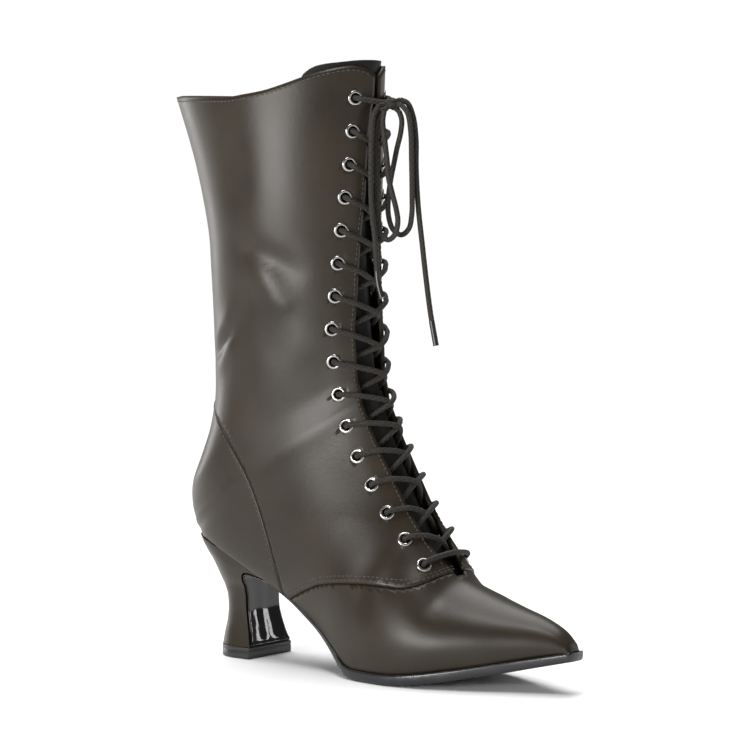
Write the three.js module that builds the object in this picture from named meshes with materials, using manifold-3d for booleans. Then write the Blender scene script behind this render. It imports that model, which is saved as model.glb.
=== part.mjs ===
// A lace-up boot for the right foot, with a snipped pointed toe, a waisted block heel,
// a calf-high shaft, sixteen pairs of eyelets and a cord lace tied in a bow.
// Millimetres. +X runs to the toe, +Y to the wearer's left (the inner side), +Z up.
// The origin is the centre of the heel's ground face.
import * as THREE from "three";
import { mergeVertices } from "three/addons/utils/BufferGeometryUtils.js";
import Module from "manifold-3d";

const wasm = await Module();
wasm.setup();

// Driving sizes
const footLength = 258; // rearmost point of the heel cup to the upper's toe tip, level
const heelBack = -34.45; // x of that rearmost point
const ballWidth = 76; // upper's edge at the ball, level
const instepHeight = 52.5; // vamp's ridge above the sole at the throat
const heelHeight = 68; // floor to the seat, at the back
const bootHeight = 331; // floor to the collar's peaks at the front
const collarDepth = 134; // collar, front to back
const collarWidth = 82; // collar, side to side
const ankleWidth = 63; // across the ankle
const collarDrop = 17; // back and sides of the collar below its peaks
const gap = 0.3; // between neighbouring pieces

const wall = 1.8; // vamp with its lining
const quarterLap = 0.9; // the quarters lie on the vamp
const counterLap = 0.8; // the counter lies on the quarters
const soleThickness = 6; // outsole's edge at the ball
const soleLedge = 2.2; // outsole's edge beyond the upper
const toeSpring = 18.5; // outsole's underside above the floor at the toe
const insoleThickness = 2;
const tongueThickness = 2;
const tongueWidth = 95; // around its curve at the top
const tongueRise = 3; // above the collar's peaks

const throatGap = 25; // widest gap between the facings
const eyeletPairs = 16;
const eyeletFlange = 4.3; // radius
const eyeletBore = 2.4; // radius
const eyeletBarrel = 2.9; // radius
const eyeletLip = 0.7; // flange's thickness
const laceDiameter = 3;
const facingTuck = 3.5; // how far a lace strand reaches under the opposite facing

const liftHeight = 6.8;
const liftLength = 29.1;
const liftWidth = 37.2;
const breastCover = 1.4; // thickness

const leather = new THREE.MeshStandardMaterial({ color: 0x3a302a, roughness: 0.45, metalness: 0 });
const lining = new THREE.MeshStandardMaterial({ color: 0x24201e, roughness: 0.8, metalness: 0 });
const soleBlack = new THREE.MeshStandardMaterial({ color: 0x1b1b1e, roughness: 0.4, metalness: 0 });
const patent = new THREE.MeshStandardMaterial({ color: 0x060607, roughness: 0.08, metalness: 0 });
const rubber = new THREE.MeshStandardMaterial({ color: 0x202022, roughness: 0.6, metalness: 0 });
const nickel = new THREE.MeshStandardMaterial({ color: 0xc8c4bc, roughness: 0.25, metalness: 1 });
const cord = new THREE.MeshStandardMaterial({ color: 0x2a2724, roughness: 0.75, metalness: 0 });

// Curve helpers
const clamp = (x, low, high) => Math.min(high, Math.max(low, x));
const lerp = (a, b, t) => a + (b - a) * t;
const stationX = (share) => heelBack + share * footLength;
const shaftZ = (share) => heelHeight + share * (bootHeight - heelHeight);

// A smooth curve through rows of [position, value] that never overshoots a flat stretch.
function curveThrough(rows, at = "at", key = "value") {
  const x = rows.map((r) => r[at]);
  const y = rows.map((r) => r[key]);
  const slope = x.slice(1).map((_, i) => (y[i + 1] - y[i]) / (x[i + 1] - x[i]));
  const tangent = x.map((_, i) => {
    if (i === 0) return slope[0];
    if (i === x.length - 1) return slope[i - 1];
    if (slope[i - 1] * slope[i] <= 0) return 0;
    return (2 * slope[i - 1] * slope[i]) / (slope[i - 1] + slope[i]);
  });
  return (p) => {
    const q = clamp(p, x[0], x[x.length - 1]);
    const i = clamp(x.findIndex((v) => v > q) - 1, 0, x.length - 2);
    const j = q >= x[x.length - 1] ? x.length - 2 : i;
    const h = x[j + 1] - x[j];
    const t = (q - x[j]) / h;
    const u = 1 - t;
    return (
      y[j] * (1 + 2 * t) * u * u + y[j + 1] * (3 - 2 * t) * t * t + h * t * u * (tangent[j] * u - tangent[j + 1] * t)
    );
  };
}

// The sole's line, a row for each station.
// at: share of the foot's length. ground: underside's height, as a share of the heel's height before
// the ball and of the toe spring after it. thick: share of the sole's thickness.
const groundRows = [
  { at: 0.02, ground: 0.985, thick: 0.4 },
  { at: 0.08, ground: 0.94, thick: 0.4 },
  { at: 0.12, ground: 0.89, thick: 0.4 },
  { at: 0.16, ground: 0.834, thick: 0.42 },
  { at: 0.24, ground: 0.69, thick: 0.44 },
  { at: 0.3, ground: 0.566, thick: 0.46 },
  { at: 0.38, ground: 0.37, thick: 0.54 },
  { at: 0.44, ground: 0.215, thick: 0.68 },
  { at: 0.48, ground: 0.078, thick: 0.9 },
  { at: 0.505, ground: 0.018, thick: 0.98 },
  { at: 0.53, ground: 0, thick: 1 },
  { at: 0.63, ground: 0, thick: 1 },
];
const springRows = [
  { at: 0.63, ground: 0, thick: 1 },
  { at: 0.69, ground: 0.1, thick: 1 },
  { at: 0.76, ground: 0.27, thick: 0.98 },
  { at: 0.86, ground: 0.56, thick: 0.94 },
  { at: 0.93, ground: 0.78, thick: 0.88 },
  { at: 1, ground: 1, thick: 0.82 },
];
const archShare = curveThrough(groundRows, "at", "ground");
const springShare = curveThrough(springRows, "at", "ground");
const archThick = curveThrough(groundRows, "at", "thick");
const springThick = curveThrough(springRows, "at", "thick");
const shareOf = (x) => (x - heelBack) / footLength;
const ballShare = 0.63;
const soleBottomZ = (x) =>
  shareOf(x) < ballShare ? heelHeight * archShare(shareOf(x)) : toeSpring * springShare(shareOf(x));
const soleEdge = (x) =>
  soleThickness * (shareOf(x) < ballShare ? archThick(shareOf(x)) : springThick(shareOf(x)));
const featherZ = (x) => soleBottomZ(x) + soleEdge(x);

// The upper's edge seen from above. inner and outer: half-widths as shares of the ball's width.
const planRows = [
  { at: 0.026, inner: 0.02, outer: 0.02 },
  { at: 0.032, inner: 0.085, outer: 0.085 },
  { at: 0.05, inner: 0.185, outer: 0.185 },
  { at: 0.08, inner: 0.262, outer: 0.262 },
  { at: 0.125, inner: 0.312, outer: 0.312 },
  { at: 0.17, inner: 0.326, outer: 0.328 },
  { at: 0.24, inner: 0.31, outer: 0.322 },
  { at: 0.31, inner: 0.282, outer: 0.305 },
  { at: 0.38, inner: 0.278, outer: 0.318 },
  { at: 0.45, inner: 0.335, outer: 0.386 },
  { at: 0.53, inner: 0.45, outer: 0.466 },
  { at: 0.6, inner: 0.49, outer: 0.492 },
  { at: 0.66, inner: 0.482, outer: 0.472 },
  { at: 0.74, inner: 0.42, outer: 0.392 },
  { at: 0.82, inner: 0.318, outer: 0.28 },
  { at: 0.89, inner: 0.218, outer: 0.168 },
  { at: 0.95, inner: 0.142, outer: 0.088 },
  { at: 0.985, inner: 0.1, outer: 0.05 },
  { at: 1, inner: 0.082, outer: 0.034 },
];
const planInner = curveThrough(planRows, "at", "inner");
const planOuter = curveThrough(planRows, "at", "outer");
const planHalf = (x, side) => ballWidth * (side > 0 ? planInner(shareOf(x)) : planOuter(shareOf(x)));

// Sections of the last and leg, from the toe to above the collar. Each is a ring in a plane that stands on
// the back point and leans to the front point.
// back, front: x, shares of the foot's length. up: the front point, share of the shaft's height above the
// seat, or rise: share of the instep's height above the sole. rear: the back point on the leg, share of the
// shaft's height. inner, outer: half-widths, shares of the ball's width in the foot and of the collar's or
// ankle's width above. widest: place of the widest point from the back. lean: how far the lower wall leans
// in. low, high: fullness of the lower and upper quarter. sway: the ridge's shift to the inner side.
const footRows = [
  { back: 0.987, front: 0.983, rise: 0.11, inner: 0.094, outer: 0.048, widest: 0.3, high: 0.95, sway: 0.026 },
  { back: 0.966, front: 0.958, rise: 0.245, inner: 0.13, outer: 0.085, widest: 0.32, high: 0.85, sway: 0.024 },
  { back: 0.922, front: 0.911, rise: 0.395, inner: 0.198, outer: 0.156, widest: 0.33, high: 0.72, sway: 0.02 },
  { back: 0.86, front: 0.849, rise: 0.543, inner: 0.292, outer: 0.252, widest: 0.32, high: 0.66, sway: 0.014 },
  { back: 0.795, front: 0.787, rise: 0.7, inner: 0.388, outer: 0.352, widest: 0.3, high: 0.62, sway: 0.008 },
  { back: 0.717, front: 0.717, rise: 0.905, inner: 0.47, outer: 0.455, widest: 0.27, high: 0.55, sway: 0 },
];
const instepRows = [
  { back: 0.640, front: 0.6698, up: 0.011, inner: 0.508, outer: 0.512, widest: 0.25, high: 0.50 },
  { back: 0.562, front: 0.6341, up: 0.063, inner: 0.494, outer: 0.516, widest: 0.25, high: 0.47 },
  { back: 0.484, front: 0.6062, up: 0.116, inner: 0.440, outer: 0.478, widest: 0.28, high: 0.46 },
  { back: 0.400, front: 0.5829, up: 0.167, inner: 0.408, outer: 0.440, widest: 0.33, high: 0.46 },
  { back: 0.302, front: 0.5612, up: 0.215, inner: 0.400, outer: 0.420, widest: 0.36, high: 0.46, lean: 0.3 },
  { back: 0.186, front: 0.5426, up: 0.257, inner: 0.402, outer: 0.412, widest: 0.37, high: 0.47, lean: 0.24 },
  { back: 0.085, front: 0.5283, up: 0.295, inner: 0.410, outer: 0.414, widest: 0.38, high: 0.48, lean: 0.15 },
  { back: 0.021, front: 0.5174, up: 0.325, inner: 0.414, outer: 0.416, widest: 0.38, high: 0.48, lean: 0.05, low: 0.79 },
];
const legRows = [
  { depth: 0.961, rear: 0.025, front: 0.5112, up: 0.342, width: 0.00, widest: 0.39, high: 0.5, low: 0.8 },
  { depth: 0.972, rear: 0.053, front: 0.5081, up: 0.356, width: 0.00, widest: 0.40, high: 0.5, low: 0.8 },
  { depth: 0.961, rear: 0.095, front: 0.5023, up: 0.376, width: 0.00, widest: 0.41, high: 0.5, low: 0.78 },
  { depth: 0.901, rear: 0.156, front: 0.4973, up: 0.399, width: 0.03, widest: 0.42, high: 0.5 },
  { depth: 0.841, rear: 0.217, front: 0.4926, up: 0.426, width: 0.08, widest: 0.43, high: 0.5 },
  { depth: 0.804, rear: 0.281, front: 0.4876, up: 0.456, width: 0.15, widest: 0.45, high: 0.5 },
  { depth: 0.787, rear: 0.350, front: 0.4818, up: 0.502, width: 0.24, widest: 0.46, high: 0.5 },
  { depth: 0.780, rear: 0.445, front: 0.4767, up: 0.570, width: 0.40, widest: 0.47, high: 0.5 },
  { depth: 0.782, rear: 0.563, front: 0.4736, up: 0.662, width: 0.64, widest: 0.48, high: 0.5 },
  { depth: 0.801, rear: 0.654, front: 0.4760, up: 0.745, width: 0.80, widest: 0.49, high: 0.5 },
  { depth: 0.875, rear: 0.791, front: 0.4783, up: 0.844, width: 0.94, widest: 0.51, high: 0.5 },
  { depth: 0.994, rear: 0.933, front: 0.4829, up: 0.951, width: 1.00, widest: 0.52, high: 0.5 },
  { depth: 1.060, rear: 1.004, front: 0.4876, up: 1.042, width: 1.01, widest: 0.52, high: 0.5 },
];
const footLean = 0.35;
const footLow = 0.75;
const legLow = 0.74;
const backStrip = 0.6; // half-width of the ring's straight stretch up the back of the leg

function footSection(r) {
  const backX = stationX(r.back);
  const frontX = stationX(r.front);
  const frontZ = r.rise === undefined ? shaftZ(r.up) : featherZ(frontX) + instepHeight * r.rise;
  return {
    bx: backX, bz: featherZ(backX), fx: frontX, fz: frontZ,
    inner: ballWidth * r.inner, outer: ballWidth * r.outer,
    flatInner: planHalf(backX, 1), flatOuter: planHalf(backX, -1),
    widest: r.widest, lean: r.lean ?? footLean, low: r.low ?? footLow, high: r.high,
    sway: ballWidth * (r.sway || 0),
  };
}
function legSection(r) {
  const frontX = stationX(r.front);
  const half = lerp(ankleWidth, collarWidth, r.width) / 2;
  return {
    bx: frontX - collarDepth * r.depth, bz: shaftZ(r.rear), fx: frontX, fz: shaftZ(r.up),
    inner: half, outer: half, flatInner: backStrip, flatOuter: backStrip,
    widest: r.widest, lean: 0, low: r.low ?? legLow, high: r.high, sway: 0,
  };
}
const sections = [...footRows.map(footSection), ...instepRows.map(footSection), ...legRows.map(legSection)];
const lastSection = sections.length - 1;
const throatSection = footRows.length - 1; // the vamp's peak
const heelSection = footRows.length + instepRows.length - 1; // the seat's rearmost point

// The section at u, from 0 at the toe to lastSection above the collar: each column runs smoothly.
function sectionAt(u) {
  const i = clamp(Math.floor(u), 0, lastSection - 1);
  const t = u - i;
  const pick = (k) => sections[clamp(k, 0, lastSection)];
  const [a, b, c, d] = [pick(i - 1), pick(i), pick(i + 1), pick(i + 2)];
  const mixed = {};
  for (const key of Object.keys(b)) {
    const m0 = (c[key] - a[key]) / 2;
    const m1 = (d[key] - b[key]) / 2;
    mixed[key] =
      b[key] * (1 + 2 * t) * (1 - t) ** 2 + c[key] * (3 - 2 * t) * t * t + t * (1 - t) * (m0 * (1 - t) - m1 * t);
  }
  if (u <= heelSection) {
    mixed.bz = featherZ(mixed.bx);
    mixed.flatInner = planHalf(mixed.bx, 1);
    mixed.flatOuter = planHalf(mixed.bx, -1);
  }
  mixed.flatInner = Math.max(mixed.flatInner, backStrip);
  mixed.flatOuter = Math.max(mixed.flatOuter, backStrip);
  return mixed;
}

// A conic arc from a to c with its corner at b: full is 0.707 for an ellipse, more for a boxier arc.
function conic(a, b, c, full, t) {
  const s = 1 - t;
  const w = [s * s, 2 * s * t * full, t * t];
  const sum = w[0] + w[1] + w[2];
  return [0, 1].map((k) => (w[0] * a[k] + w[1] * b[k] + w[2] * c[k]) / sum);
}

// The upper's base surface. v runs from -1 at the outer edge over the front at 0 to 1 at the inner edge.
const frontShare = 0.55; // share of v from the front to the widest point
function skin(u, v) {
  const s = sectionAt(u);
  const side = v < 0 ? -1 : 1;
  const half = side > 0 ? s.inner : s.outer;
  const flat = side > 0 ? s.flatInner : s.flatOuter;
  const h = Math.hypot(s.fx - s.bx, s.fz - s.bz);
  const place = s.widest * h;
  const t = Math.abs(v);
  const [along, across] =
    t < frontShare
      ? conic([h, side * s.sway], [h, half], [place, half], s.high, t / frontShare)
      : conic([place, half], [place * s.lean, half], [0, flat], s.low, (t - frontShare) / (1 - frontShare));
  return new THREE.Vector3(
    s.bx + ((s.fx - s.bx) * along) / h, side * across, s.bz + ((s.fz - s.bz) * along) / h,
  );
}
const stepU = 0.02;
const stepV = 0.004;
function skinNormal(u, v) {
  const du = skin(Math.min(u + stepU, lastSection), v).sub(skin(Math.max(u - stepU, 0), v));
  const dv = skin(u, Math.min(v + stepV, 1)).sub(skin(u, Math.max(v - stepV, -1)));
  return dv.cross(du).normalize();
}
const skinOffset = (u, v, off) => skin(u, v).addScaledVector(skinNormal(u, v), off);

// Meshes and booleans
function geometryOf(points, triangles) {
  const g = new THREE.BufferGeometry();
  g.setAttribute("position", new THREE.Float32BufferAttribute(points.flatMap((p) => [p.x, p.y, p.z]), 3));
  g.setIndex(triangles);
  return g;
}
function solid(geometry) {
  const g = (geometry.index ? geometry.toNonIndexed() : geometry.clone());
  g.deleteAttribute("normal");
  g.deleteAttribute("uv");
  const merged = mergeVertices(g, 1e-4);
  return new wasm.Manifold(
    new wasm.Mesh({
      numProp: 3,
      vertProperties: new Float32Array(merged.attributes.position.array),
      triVerts: new Uint32Array(merged.index.array),
    }),
  );
}
function geometryFrom(shape) {
  const m = shape.getMesh();
  const points = [];
  for (let i = 0; i < m.numVert; i++)
    points.push(new THREE.Vector3(...m.vertProperties.subarray(i * m.numProp, i * m.numProp + 3)));
  return geometryOf(points, Array.from(m.triVerts));
}
// A closed body through rings of equally many points, each ring a closed loop, capped at both ends.
function loft(rings) {
  const n = rings[0].length;
  const points = rings.flat();
  const triangles = [];
  for (let j = 0; j + 1 < rings.length; j++)
    for (let i = 0; i < n; i++) {
      const k = (i + 1) % n;
      const [a, b, c, d] = [j * n + i, j * n + k, (j + 1) * n + i, (j + 1) * n + k];
      triangles.push(a, c, b, b, c, d);
    }
  const caps = [[rings[0], 0, 1], [rings[rings.length - 1], (rings.length - 1) * n, -1]];
  for (const [ring, start, turn] of caps) {
    const middle = ring.reduce((s, p) => s.add(p), new THREE.Vector3()).divideScalar(n);
    points.push(middle);
    for (let i = 0; i < n; i++) {
      const k = (i + 1) % n;
      if (turn > 0) triangles.push(points.length - 1, start + i, start + k);
      else triangles.push(points.length - 1, start + k, start + i);
    }
  }
  const made = solid(geometryOf(points, triangles));
  if (made.volume() > 0) return made;
  for (let i = 0; i < triangles.length; i += 3)
    [triangles[i], triangles[i + 1]] = [triangles[i + 1], triangles[i]];
  return solid(geometryOf(points, triangles));
}
// A side-view outline of [x, z] points, extruded across the boot from y = from to y = to.
function sidePrism(outline, from = -90, to = 90) {
  const shape = new THREE.Shape(outline.map(([x, z]) => new THREE.Vector2(x, z)));
  const g = new THREE.ExtrudeGeometry(shape, { depth: to - from, bevelEnabled: false, steps: 1 });
  g.rotateX(Math.PI / 2);
  g.translate(0, to, 0);
  return solid(g);
}
const range = (n) => Array.from({ length: n }, (_, i) => i);
const span = (from, to, n) => range(n + 1).map((i) => lerp(from, to, i / n));

// The upper
// Stations around a ring, closer together at the back's tight turn
const lowStations = [1, 0.91, 0.77, 0.58, 0.32].map((t) => lerp(frontShare, 1, t));
const stationsOf = (high) => {
  const half = [...lowStations, ...span(frontShare, 0, high)];
  return [...half, ...half.slice(0, -1).map((v) => -v).reverse()];
};
const ringStations = stationsOf(6);
const innerStations = stationsOf(5);
const sectionSteps = [
  ...span(0, 6, 10), ...span(6, heelSection - 1, 7).slice(1), ...span(heelSection - 1, heelSection, 4).slice(1),
  ...span(heelSection, heelSection + 3, 5).slice(1), ...span(heelSection + 3, lastSection, 10).slice(1),
];
// A closed form at a distance off the base surface. Over the sole it reaches below the feather line.
function form(off, below, stations = ringStations, start = 0) {
  return loft(
    sectionSteps.filter((u) => u >= start).map((u) => {
      const drop = u <= heelSection ? below : 0;
      return stations.map((v) => {
        const p = skinOffset(u, v, off);
        if (Math.abs(v) === 1) p.z -= drop;
        return p;
      });
    }),
  );
}
const formBelow = 4;
const innerBelow = 9;
const toeStart = 0.5; // the inside starts behind the toe's tip

// Side-view lines, points of share of the foot's length and share of the shaft's height above the seat
const sideLine = (rows) => rows.map((r) => [stationX(r.at), shaftZ(r.up)]);
const vampSeam = sideLine([
  { at: 0.29, up: -0.138 }, { at: 0.328, up: -0.112 }, { at: 0.353, up: -0.101 }, { at: 0.382, up: -0.088 },
  { at: 0.402, up: -0.08 }, { at: 0.425, up: -0.072 }, { at: 0.453, up: -0.066 }, { at: 0.485, up: -0.062 },
  { at: 0.533, up: -0.059 }, { at: 0.575, up: -0.058 }, { at: 0.61, up: -0.06 }, { at: 0.635, up: -0.061 },
  { at: 0.655, up: -0.058 }, { at: 0.67, up: -0.053 }, { at: 0.684, up: -0.046 }, { at: 0.694, up: -0.038 },
  { at: 0.705, up: -0.03 }, { at: 0.722, up: -0.015 }, { at: 0.736, up: 0.006 },
]);
const counterSeam = sideLine([
  { at: 0.04, up: 0.32 }, { at: 0.09, up: 0.29 }, { at: 0.128, up: 0.262 }, { at: 0.165, up: 0.228 },
  { at: 0.2, up: 0.183 }, { at: 0.227, up: 0.146 }, { at: 0.247, up: 0.112 }, { at: 0.27, up: 0.061 },
  { at: 0.283, up: 0.023 }, { at: 0.295, up: -0.018 }, { at: 0.305, up: -0.064 }, { at: 0.31, up: -0.16 },
]);
const farBack = stationX(-0.3);
const farFront = stationX(1.3);
const highUp = bootHeight + 60;
const quarterArea = sidePrism([
  ...vampSeam, [stationX(0.8), highUp], [farBack, highUp], [farBack, -10], [stationX(0.29), -10],
]);
const counterArea = sidePrism([...counterSeam, [stationX(0.31), -10], [farBack, -10], [farBack, shaftZ(0.32)]]);

// The collar: level at the back and sides, rising to a rounded peak at each facing.
// down: share of the collar's drop.
const collarLine = [
  { at: -0.3, down: 1 }, { at: 0.2, down: 1 }, { at: 0.255, down: 0.9 }, { at: 0.3, down: 0.78 },
  { at: 0.345, down: 0.56 }, { at: 0.38, down: 0.35 }, { at: 0.415, down: 0.16 }, { at: 0.445, down: 0.04 },
  { at: 0.462, down: 0 }, { at: 0.472, down: 0.03 }, { at: 0.478, down: 0.09 }, { at: 0.4815, down: 0.17 },
  { at: 0.484, down: 0.3 }, { at: 0.4858, down: 0.5 }, { at: 0.487, down: 0.9 },
].map((r) => [stationX(r.at), bootHeight - collarDrop * r.down]);
const collarCut = sidePrism([
  ...collarLine, [stationX(0.6), bootHeight - collarDrop * 0.9], [stationX(0.6), highUp], [farBack, highUp],
]);

// Stations along the sole, and everything below a line over it
const soleStations = [
  0.022, 0.032, 0.055, 0.09, 0.13, 0.17, 0.23, 0.28, 0.34, 0.38, 0.41, 0.44, 0.46, 0.48, 0.495, 0.51, 0.53, 0.58, 0.63,
  0.69, 0.75, 0.81, 0.87, 0.92, 0.96, 0.985,
];
const belowLine = (height) =>
  sidePrism([
    [farBack, height(farBack)], ...soleStations.map((s) => [stationX(s), height(stationX(s))]),
    [farFront, height(farFront)], [farFront, -40], [farBack, -40],
  ]);

// The throat: a slot down the front, widest above the ankle.
// up: share of the shaft's height above the seat. open: share of the widest gap.
const throatRows = [
  { up: -0.04, open: 0.3 }, { up: -0.01, open: 0.58 }, { up: 0.04, open: 0.78 }, { up: 0.1, open: 0.86 },
  { up: 0.16, open: 0.91 }, { up: 0.22, open: 0.94 }, { up: 0.33, open: 0.93 }, { up: 0.46, open: 0.96 },
  { up: 0.52, open: 0.84 }, { up: 0.6, open: 0.72 }, { up: 0.66, open: 0.62 }, { up: 0.73, open: 0.5 },
  { up: 0.82, open: 0.42 }, { up: 0.9, open: 0.28 }, { up: 0.95, open: 0.16 }, { up: 1.04, open: 0.14 },
];
const throatOpen = curveThrough(throatRows, "up", "open");
const throatStart = throatSection + 0.12;
const throatHalf = (u) => (throatGap / 2) * throatOpen((sectionAt(u).fz - heelHeight) / (bootHeight - heelHeight));
const throatReach = 14; // how deep the slot cuts behind the front
const throatCut = loft(
  span(throatStart, lastSection, 26).map((u) => {
    const s = sectionAt(u);
    const out = new THREE.Vector3(s.fx - s.bx, 0, s.fz - s.bz).normalize();
    const front = new THREE.Vector3(s.fx, 0, s.fz);
    const y = throatHalf(u);
    return [[-throatReach, y], [throatReach, y], [throatReach, -y], [-throatReach, -y]].map(([d, across]) =>
      front.clone().addScaledVector(out, d).setY(across),
    );
  }),
);

// Newton's steps on the skin until both of miss(point) are nil, from a first guess of u and v.
function settle(miss, u, v) {
  for (let k = 0; k < 8; k++) {
    const [ea, eb] = miss(skin(u, v));
    const [ua, ub] = miss(skin(u + 0.01, v)).map((m, i) => (m - [ea, eb][i]) / 0.01);
    const [va, vb] = miss(skin(u, v + 0.003)).map((m, i) => (m - [ea, eb][i]) / 0.003);
    const det = ua * vb - va * ub;
    u = clamp(u - clamp((vb * ea - va * eb) / det, -0.3, 0.3), 0, lastSection - 0.01);
    v = clamp(v - clamp((ua * eb - ub * ea) / det, -0.05, 0.05), -0.98, 0.98);
  }
  return { u, v, at: skin(u, v), out: skinNormal(u, v) };
}
// The place on the skin that has x and z in the side view, on one side.
function onSkin(x, z, side) {
  const miss = (p) => [p.x - x, p.z - z];
  let best = { far: Infinity };
  for (let u = throatSection - 1; u < lastSection; u += 0.5)
    for (let v = 0.04; v < frontShare; v += 0.05) {
      const far = Math.hypot(...miss(skin(u, side * v)));
      if (far < best.far) best = { far, u, v: side * v };
    }
  return settle(miss, best.u, best.v);
}
// The place on the skin straight out from a point of a chord, at the chord's own y.
function outFrom(point, u, v) {
  const along = skin(u + 0.2, 0).sub(skin(u - 0.2, 0)).setY(0).normalize();
  return settle((p) => [p.y - point.y, (p.x - point.x) * along.x + (p.z - point.z) * along.z], u, v);
}

// The eyelets stand in equal steps along a line of the side view, from the lowest to the top one.
const eyeletLine = sideLine([
  { at: 0.6628, up: -0.016 }, { at: 0.6151, up: 0.033 }, { at: 0.569, up: 0.086 }, { at: 0.5287, up: 0.14 },
  { at: 0.4868, up: 0.2 }, { at: 0.455, up: 0.262 }, { at: 0.4364, up: 0.322 }, { at: 0.4275, up: 0.391 },
  { at: 0.4252, up: 0.458 }, { at: 0.4302, up: 0.524 }, { at: 0.4403, up: 0.657 }, { at: 0.4543, up: 0.794 },
  { at: 0.464, up: 0.934 },
]);
const eyeletCurve = new THREE.SplineCurve(eyeletLine.map(([x, z]) => new THREE.Vector2(x, z)));
const eyeletRow = (side) => eyeletCurve.getSpacedPoints(eyeletPairs - 1).map((p) => onSkin(p.x, p.y, side));
const eyelets = { outer: eyeletRow(-1), inner: eyeletRow(1) };
// Turns a shape made about +Z so that it stands on the skin at a place.
function stand(geometry, place, lift) {
  const turn = new THREE.Quaternion().setFromUnitVectors(new THREE.Vector3(0, 0, 1), place.out);
  const at = place.at.clone().addScaledVector(place.out, lift);
  return geometry.clone().applyMatrix4(new THREE.Matrix4().compose(at, turn, new THREE.Vector3(1, 1, 1)));
}
const punchRadius = (eyeletBarrel + gap) / Math.cos(Math.PI / 6);
const punch = new THREE.CylinderGeometry(punchRadius, punchRadius, 14, 6).rotateX(Math.PI / 2);

function makeUpper() {
  const vamp = form(0, formBelow);
  const quarter = form(quarterLap, formBelow).intersect(quarterArea);
  const counter = form(quarterLap + counterLap, formBelow).intersect(counterArea);
  let upper = vamp.add(quarter).add(counter).subtract(form(-wall, innerBelow, innerStations, toeStart));
  upper = upper.subtract(belowLine((x) => featherZ(x) + gap)).subtract(collarCut).subtract(throatCut);
  for (const place of [...eyelets.outer, ...eyelets.inner]) upper = upper.subtract(solid(stand(punch, place, 0)));
  return upper;
}

// Sole and insole: rings across the boot
// How far the outsole's edge stands beyond the upper. at: share of the foot's length. out: share of the ledge.
const ledgeOut = curveThrough([
  { at: 0.02, value: -0.35 }, { at: 0.3, value: -0.3 }, { at: 0.42, value: 0.15 }, { at: 0.55, value: 0.8 },
  { at: 0.66, value: 1 }, { at: 0.9, value: 1 }, { at: 1, value: 0.85 },
]);
const ringAcross = (x, rows) =>
  [...rows.map(([dy, z]) => [1, dy, z]), ...rows.map(([dy, z]) => [-1, dy, z]).reverse()].map(
    ([side, dy, z]) => new THREE.Vector3(x, side * Math.max(planHalf(x, side) + dy, 0.3), z),
  );
const soleStart = 0.27; // behind this the heel meets the upper
function makeOutsole() {
  const rings = soleStations.filter((share) => share > soleStart).map((share) => {
    const x = stationX(share);
    const out = soleLedge * ledgeOut(share);
    const thick = soleEdge(x);
    const top = featherZ(x);
    return ringAcross(x, [[out - 0.5, top], [out, top - 0.25 * thick], [out - 0.3, top - 0.75 * thick], [out - 1.7, top - thick]]);
  });
  const tip = stationX(1) - 0.6;
  const [tipTop, tipThick] = [featherZ(tip), soleEdge(tip)];
  rings.push(
    ringAcross(tip, [[0, tipTop - 0.3], [0.3, tipTop - 0.35 * tipThick], [0, tipTop - 0.7 * tipThick], [-0.8, tipTop - tipThick + 0.5]]),
  );
  return loft(rings);
}
function makeInsole() {
  const rings = soleStations.filter((share) => share > 0.06 && share < 0.9).map((share) => {
    const x = stationX(share);
    const inset = -wall - gap - 1.6;
    const base = featherZ(x) + gap;
    return ringAcross(x, [[inset, base + insoleThickness], [inset, base]]);
  });
  return loft(rings);
}

// The tongue lies under the facings with room for the lace.
const tongueDepth = curveThrough([
  { at: 0, value: wall + laceDiameter + 4.5 * gap }, { at: lastSection - 1.5, value: wall + laceDiameter + 4.5 * gap },
  { at: lastSection - 0.7, value: wall + 2 * gap }, { at: lastSection, value: wall + gap },
]);
// wide: half of the tongue, share of half its top width, by section
const tongueWide = curveThrough([
  { at: throatSection, value: 0.3 }, { at: throatSection + 1, value: 0.44 }, { at: 10, value: 0.56 },
  { at: 14, value: 0.62 }, { at: 19, value: 0.68 }, { at: 24, value: 0.96 }, { at: lastSection, value: 1 },
]);
// A walk along a ring from the front to a distance on the skin.
function reach(u, side, distance) {
  let v = 0;
  let gone = 0;
  let here = skin(u, 0);
  while (gone < distance && v < 0.9) {
    v += 0.01;
    const next = skin(u, side * v);
    gone += next.distanceTo(here);
    here = next;
  }
  return v;
}
const tongueSteps = 6;
function makeTongue() {
  const rings = span(throatSection - 0.3, lastSection, 12).map((u) => {
    const half = (tongueWidth / 2) * tongueWide(u);
    const stations = span(-reach(u, -1, half), reach(u, 1, half), tongueSteps);
    const outer = stations.map((v) => skinOffset(u, v, -tongueDepth(u)));
    const inner = stations.map((v) => skinOffset(u, v, -tongueDepth(u) - tongueThickness)).reverse();
    return [...outer, ...inner];
  });
  const topLine = [
    { at: 0.3, drop: 24 }, { at: 0.355, drop: 13 }, { at: 0.372, drop: 6.5 }, { at: 0.395, drop: 3 },
    { at: 0.43, drop: 1.2 }, { at: 0.48, drop: 0 }, { at: 0.6, drop: 0 },
  ].map((r) => [stationX(r.at), bootHeight + tongueRise - r.drop]);
  const above = sidePrism([...topLine, [stationX(0.6), highUp], [stationX(0.3), highUp]]);
  return loft(rings).subtract(above);
}

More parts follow.
